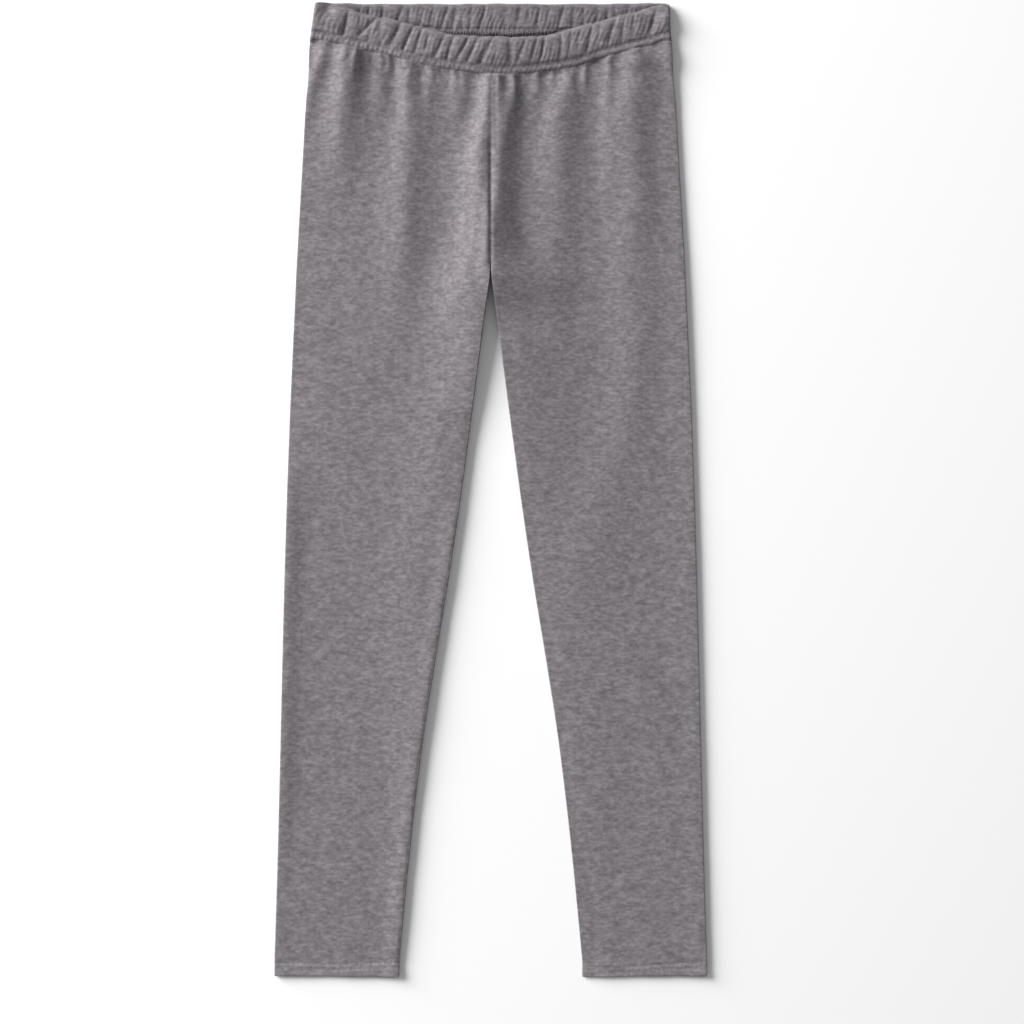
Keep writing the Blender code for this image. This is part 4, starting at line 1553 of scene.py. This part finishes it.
@dataclass
class HemStitches:
    """The needle rows of one hem, on its front and its back."""

    outline: Outline
    relief: Relief
    thread: Thread
    side: Side
    level: float = 8.0  # how far above the leg's end its width is read
    inner_clear: float = 3.0
    outer_clear: float = 3.5

    def build(self, finish: "ThreadFinish") -> bpy.types.Object:
        """Makes the hem's stitches as one mesh.

        Args:
            finish: the thread's finish.

        Returns:
            The stitches.
        """
        shell = Shell()
        rows = NeedleRows(self.thread)
        level = np.full(1, self.outline.foot + self.level)
        inner = float(self.outline.inner(level)[0]) + self.inner_clear
        outer = float(self.outline.outer(level)[0]) - self.outer_clear
        start, end = (inner, outer) if self.side is Side.LEFT else (-outer, -inner)
        for index in (0, 1):
            for height in (self.relief.front, self.relief.back_thread):
                rows.run(shell, start, end,
                         lambda x, row=index: self.outline.foot + self.relief.hem_rows(x)[row], height)
        stitches = shell.build(f"{self.side.name.lower()}_hem_stitches")
        dress(stitches, finish)
        return stitches


# ---------------------------------------------------------------------------------------------
# Finishes
# ---------------------------------------------------------------------------------------------


def linear(colour: str) -> tuple[float, float, float, float]:
    """Turns an sRGB hex colour to a linear one.

    Args:
        colour: the colour, such as "#797478".

    Returns:
        Its linear red, green and blue, and an alpha of 1.
    """
    values = [int(colour[start:start + 2], 16) / 255 for start in (1, 3, 5)]
    curve = [value / 12.92 if value <= 0.04045 else ((value + 0.055) / 1.055) ** 2.4 for value in values]
    return (*curve, 1.0)


def add_node(tree: bpy.types.NodeTree, kind: str, settings: Optional[dict] = None,
             links: Optional[dict] = None) -> bpy.types.Node:
    """Adds a node with its settings and its links.

    Args:
        tree: the material's node tree.
        kind: the node's type name.
        settings: attributes by name, or input values by socket name or number.
        links: output sockets by the name or number of the input that takes them.

    Returns:
        The node.
    """
    node = tree.nodes.new(kind)
    for key, value in (settings or {}).items():
        if isinstance(key, str) and hasattr(node, key):
            setattr(node, key, value)
        else:
            node.inputs[key].default_value = value
    for key, output in (links or {}).items():
        tree.links.new(output, node.inputs[key])
    return node


@dataclass(frozen=True)
class Finish:
    """A material that is made once and then shared."""

    name: str

    def material(self) -> bpy.types.Material:
        """Makes the material, or gives the one already made.

        Returns:
            The material.
        """
        made = bpy.data.materials.get(self.name)
        if made:
            return made
        material = bpy.data.materials.new(self.name)
        material.use_nodes = True
        self.shade(material.node_tree, material.node_tree.nodes["Principled BSDF"])
        return material

    def shade(self, tree: bpy.types.NodeTree, shader: bpy.types.Node) -> None:
        """Adds the finish's own nodes to a new material and sets its surface."""
        raise NotImplementedError


@dataclass(frozen=True)
class JerseyFinish(Finish):
    """Cotton and polyester jersey, knitted from heather yarn and brushed on its face.

    Dark and pale fibres are spun into one yarn, so the colour is a fine fleck that runs along the
    courses. The brushing lifts short fibres that soften the highlights and pale the slopes.
    """

    mean: str = "#797478"
    dark: str = "#666165"
    pale: str = "#8C878B"
    fleck_mm: float = 5.0
    fibre_mm: float = 2.5  # real heather fibres are finer, 0.1 mm, and are drawn as coarse as shows
    course_mm: float = 1.0  # real courses stand about 0.7 mm apart, too fine to show
    stretch: float = 1.8  # how much longer a fleck is along the courses than across them
    bump_mm: float = 0.085
    roughness: float = 0.92  # brushed cotton scatters nearly all light
    specular: float = 0.15
    sheen: float = 0.12
    sheen_roughness: float = 0.55
    sheen_colour: str = "#D8D2D6"

    def shade(self, tree: bpy.types.NodeTree, shader: bpy.types.Node) -> None:
        """Draws the heather flecks, the fibres and the courses of the knit.

        Args:
            tree: the material's node tree.
            shader: its surface.
        """
        place = add_node(tree, "ShaderNodeTexCoord")
        along = add_node(tree, "ShaderNodeMapping",
                         {"Scale": (1.0 / (self.stretch * MM), 1.0 / MM, 1.0 / MM)},
                         {"Vector": place.outputs["Object"]})
        fleck = add_node(tree, "ShaderNodeTexNoise",
                         {"Scale": 1.0 / self.fleck_mm, "Detail": 2.5, "Roughness": 0.62},
                         {"Vector": along.outputs[0]})
        fibre = add_node(tree, "ShaderNodeTexNoise",
                         {"Scale": 1.0 / self.fibre_mm, "Detail": 2.0, "Roughness": 0.6},
                         {"Vector": along.outputs[0]})
        both = add_node(tree, "ShaderNodeMix", {"data_type": "FLOAT", "Factor": 0.45},
                        {2: fleck.outputs[0], 3: fibre.outputs[0]})
        ramp = add_node(tree, "ShaderNodeValToRGB", None, {0: both.outputs[0]})
        stops = ramp.color_ramp.elements
        stops[0].position, stops[0].color = 0.3, linear(self.dark)
        stops[1].position, stops[1].color = 0.7, linear(self.pale)
        stops.new(0.5).color = linear(self.mean)
        tree.links.new(ramp.outputs[0], shader.inputs["Base Color"])
        knit = add_node(tree, "ShaderNodeTexWave",
                        {"Scale": 0.5 / self.course_mm, "Distortion": 2.5, "Detail": 2.0,
                         "Detail Scale": 1.5, "bands_direction": "X"},
                        {"Vector": along.outputs[0]})
        height = add_node(tree, "ShaderNodeMix", {"data_type": "FLOAT", "Factor": 0.35},
                          {2: fibre.outputs[0], 3: knit.outputs[0]})
        bump = add_node(tree, "ShaderNodeBump", {"Strength": 0.55, "Distance": self.bump_mm * MM},
                        {"Height": height.outputs[0]})
        tree.links.new(bump.outputs[0], shader.inputs["Normal"])
        surface = {"Roughness": self.roughness, "Specular IOR Level": self.specular,
                   "Sheen Weight": self.sheen, "Sheen Roughness": self.sheen_roughness,
                   "Sheen Tint": linear(self.sheen_colour)}
        for socket, value in surface.items():
            shader.inputs[socket].default_value = value


@dataclass(frozen=True)
class ThreadFinish(Finish):
    """Spun polyester sewing thread, dyed to match the cloth, with a faint twist and shine."""

    name: str = "sewing_thread_matched_grey"
    colour: str = "#7F7A7E"
    pale: str = "#918C90"
    twist_mm: float = 0.6
    lean: float = 0.7  # how far the twist leans from the thread's run
    roughness: float = 0.6
    sheen: float = 0.1

    def shade(self, tree: bpy.types.NodeTree, shader: bpy.types.Node) -> None:
        """Draws the twist of the thread.

        Args:
            tree: the material's node tree.
            shader: its surface.
        """
        place = add_node(tree, "ShaderNodeTexCoord")
        scaled = add_node(tree, "ShaderNodeMapping",
                          {"Scale": (1.0 / MM,) * 3, "Rotation": (0.0, 0.0, self.lean)},
                          {"Vector": place.outputs["Object"]})
        twist = add_node(tree, "ShaderNodeTexWave", {"Scale": 0.5 / self.twist_mm},
                         {"Vector": scaled.outputs[0]})
        ramp = add_node(tree, "ShaderNodeValToRGB", None, {0: twist.outputs[0]})
        ramp.color_ramp.elements[0].color = linear(self.colour)
        ramp.color_ramp.elements[1].color = linear(self.pale)
        tree.links.new(ramp.outputs[0], shader.inputs["Base Color"])
        shader.inputs["Roughness"].default_value = self.roughness
        shader.inputs["Sheen Weight"].default_value = self.sheen


# ---------------------------------------------------------------------------------------------
# The studio
# ---------------------------------------------------------------------------------------------


@dataclass
class Studio:
    """A pale table, a soft key light from the upper left, a wide fill and the camera above."""

    frame_width: float = 0.8822
    lens_mm: float = 85.0
    sensor_mm: float = 36.0
    aim: tuple[float, float] = (0.0183, -0.0181)
    key_place: tuple[float, float, float] = (-4.88, 2.59, 2.33)
    key_power: float = 790.0
    key_size: float = 4.4
    fill: float = 0.33
    cloth_level: float = 0.004  # the frame's width is measured at this height
    table_colour: str = "#F8F8F8"
    table_reach: float = 8.0
    table_drop: float = 0.0002

    def build(self) -> None:
        """Makes the camera, the lights and the table."""
        self._camera()
        self._lights()
        self._table()
        bpy.context.scene.view_settings.view_transform = "Standard"

    def _camera(self) -> None:
        """Hangs the camera straight above the leggings."""
        data = bpy.data.cameras.new("camera")
        data.lens, data.sensor_width = self.lens_mm, self.sensor_mm
        data.clip_start, data.clip_end = 0.05, 50.0
        camera = add_object("camera", data)
        camera.location = (*self.aim, self.frame_width * self.lens_mm / self.sensor_mm + self.cloth_level)
        bpy.context.scene.camera = camera

    def _lights(self) -> None:
        """Sets up the key light and the fill from all round."""
        data = bpy.data.lights.new("key", "AREA")
        data.shape, data.size, data.energy = "DISK", self.key_size, self.key_power
        key = add_object("key", data)
        key.location = self.key_place
        aim = -np.array(self.key_place)
        pitch = math.atan2(math.hypot(aim[0], aim[1]), -aim[2])
        key.rotation_euler = (pitch, 0.0, math.atan2(-aim[0], aim[1]))
        world = bpy.data.worlds.new("studio")
        world.use_nodes = True
        background = world.node_tree.nodes["Background"]
        background.inputs["Color"].default_value = (1.0, 1.0, 1.0, 1.0)
        background.inputs["Strength"].default_value = self.fill
        bpy.context.scene.world = world

    def _table(self) -> None:
        """Lays the pale table just under the cloth."""
        mesh = bpy.data.meshes.new("table")
        reach = self.table_reach
        corners = [(x * reach, y * reach, 0.0) for x, y in ((-1, -1), (1, -1), (1, 1), (-1, 1))]
        mesh.from_pydata(corners, [], [(0, 1, 2, 3)])
        table = add_object("table", mesh)
        table.location.z = -self.table_drop
        material = bpy.data.materials.new("pale_matt_laminate")
        material.use_nodes = True
        shader = material.node_tree.nodes["Principled BSDF"]
        shader.inputs["Base Color"].default_value = linear(self.table_colour)
        shader.inputs["Roughness"].default_value = 0.9
        shader.inputs["Specular IOR Level"].default_value = 0.1
        mesh.materials.append(material)


# ---------------------------------------------------------------------------------------------
# Putting it together
# ---------------------------------------------------------------------------------------------


def place_on_frame(piece: bpy.types.Object, node: Optional[str] = None) -> None:
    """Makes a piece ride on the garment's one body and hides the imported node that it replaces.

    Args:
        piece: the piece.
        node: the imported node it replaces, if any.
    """
    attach(piece, "root")
    if node:
        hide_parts(node)
    log.info("%s: %d points", piece.name, len(piece.data.vertices))


def main() -> None:
    """Builds the leggings and the studio."""
    logging.basicConfig(level=logging.INFO)
    outline = Outline()
    relief = Relief(outline)
    leg_cloth = JerseyFinish("brushed_jersey_face")
    leg_reverse = JerseyFinish("brushed_jersey_reverse", mean="#8D888C", dark="#7B767A", pale="#A29DA1",
                               sheen=0.4)
    # The casing is the legs' jersey drawn darker: painted shade for the shadows among its gathers.
    casing_cloth_painted_shade = JerseyFinish("brushed_jersey_casing_painted_shade", mean="#726D71", dark="#605B5F", pale="#858085")
    # The hem is the legs' jersey drawn paler: painted light on the same cloth.
    hem_cloth_painted_light = JerseyFinish("brushed_jersey_hem", mean="#7D797C", dark="#6A6669", pale="#908C8F")
    matched = ThreadFinish()
    thread = Thread()

    for side in Side:
        leg = Leg(side, outline, relief).build(leg_cloth, leg_reverse)
        place_on_frame(leg, f"{side.name.lower()}_leg")
        hem = Hem(outline, relief, side=side).build(hem_cloth_painted_light)
        place_on_frame(hem, f"{side.name.lower()}_hem")
        stitches = HemStitches(outline, relief, thread, side).build(matched)
        place_on_frame(stitches)

    casing = Casing(outline, relief).build(casing_cloth_painted_shade)
    place_on_frame(casing, "waist_casing")
    stitches = CasingStitches(outline, relief, thread).build(matched)
    place_on_frame(stitches)
    Studio().build()


if __name__ == "__main__":
    main()
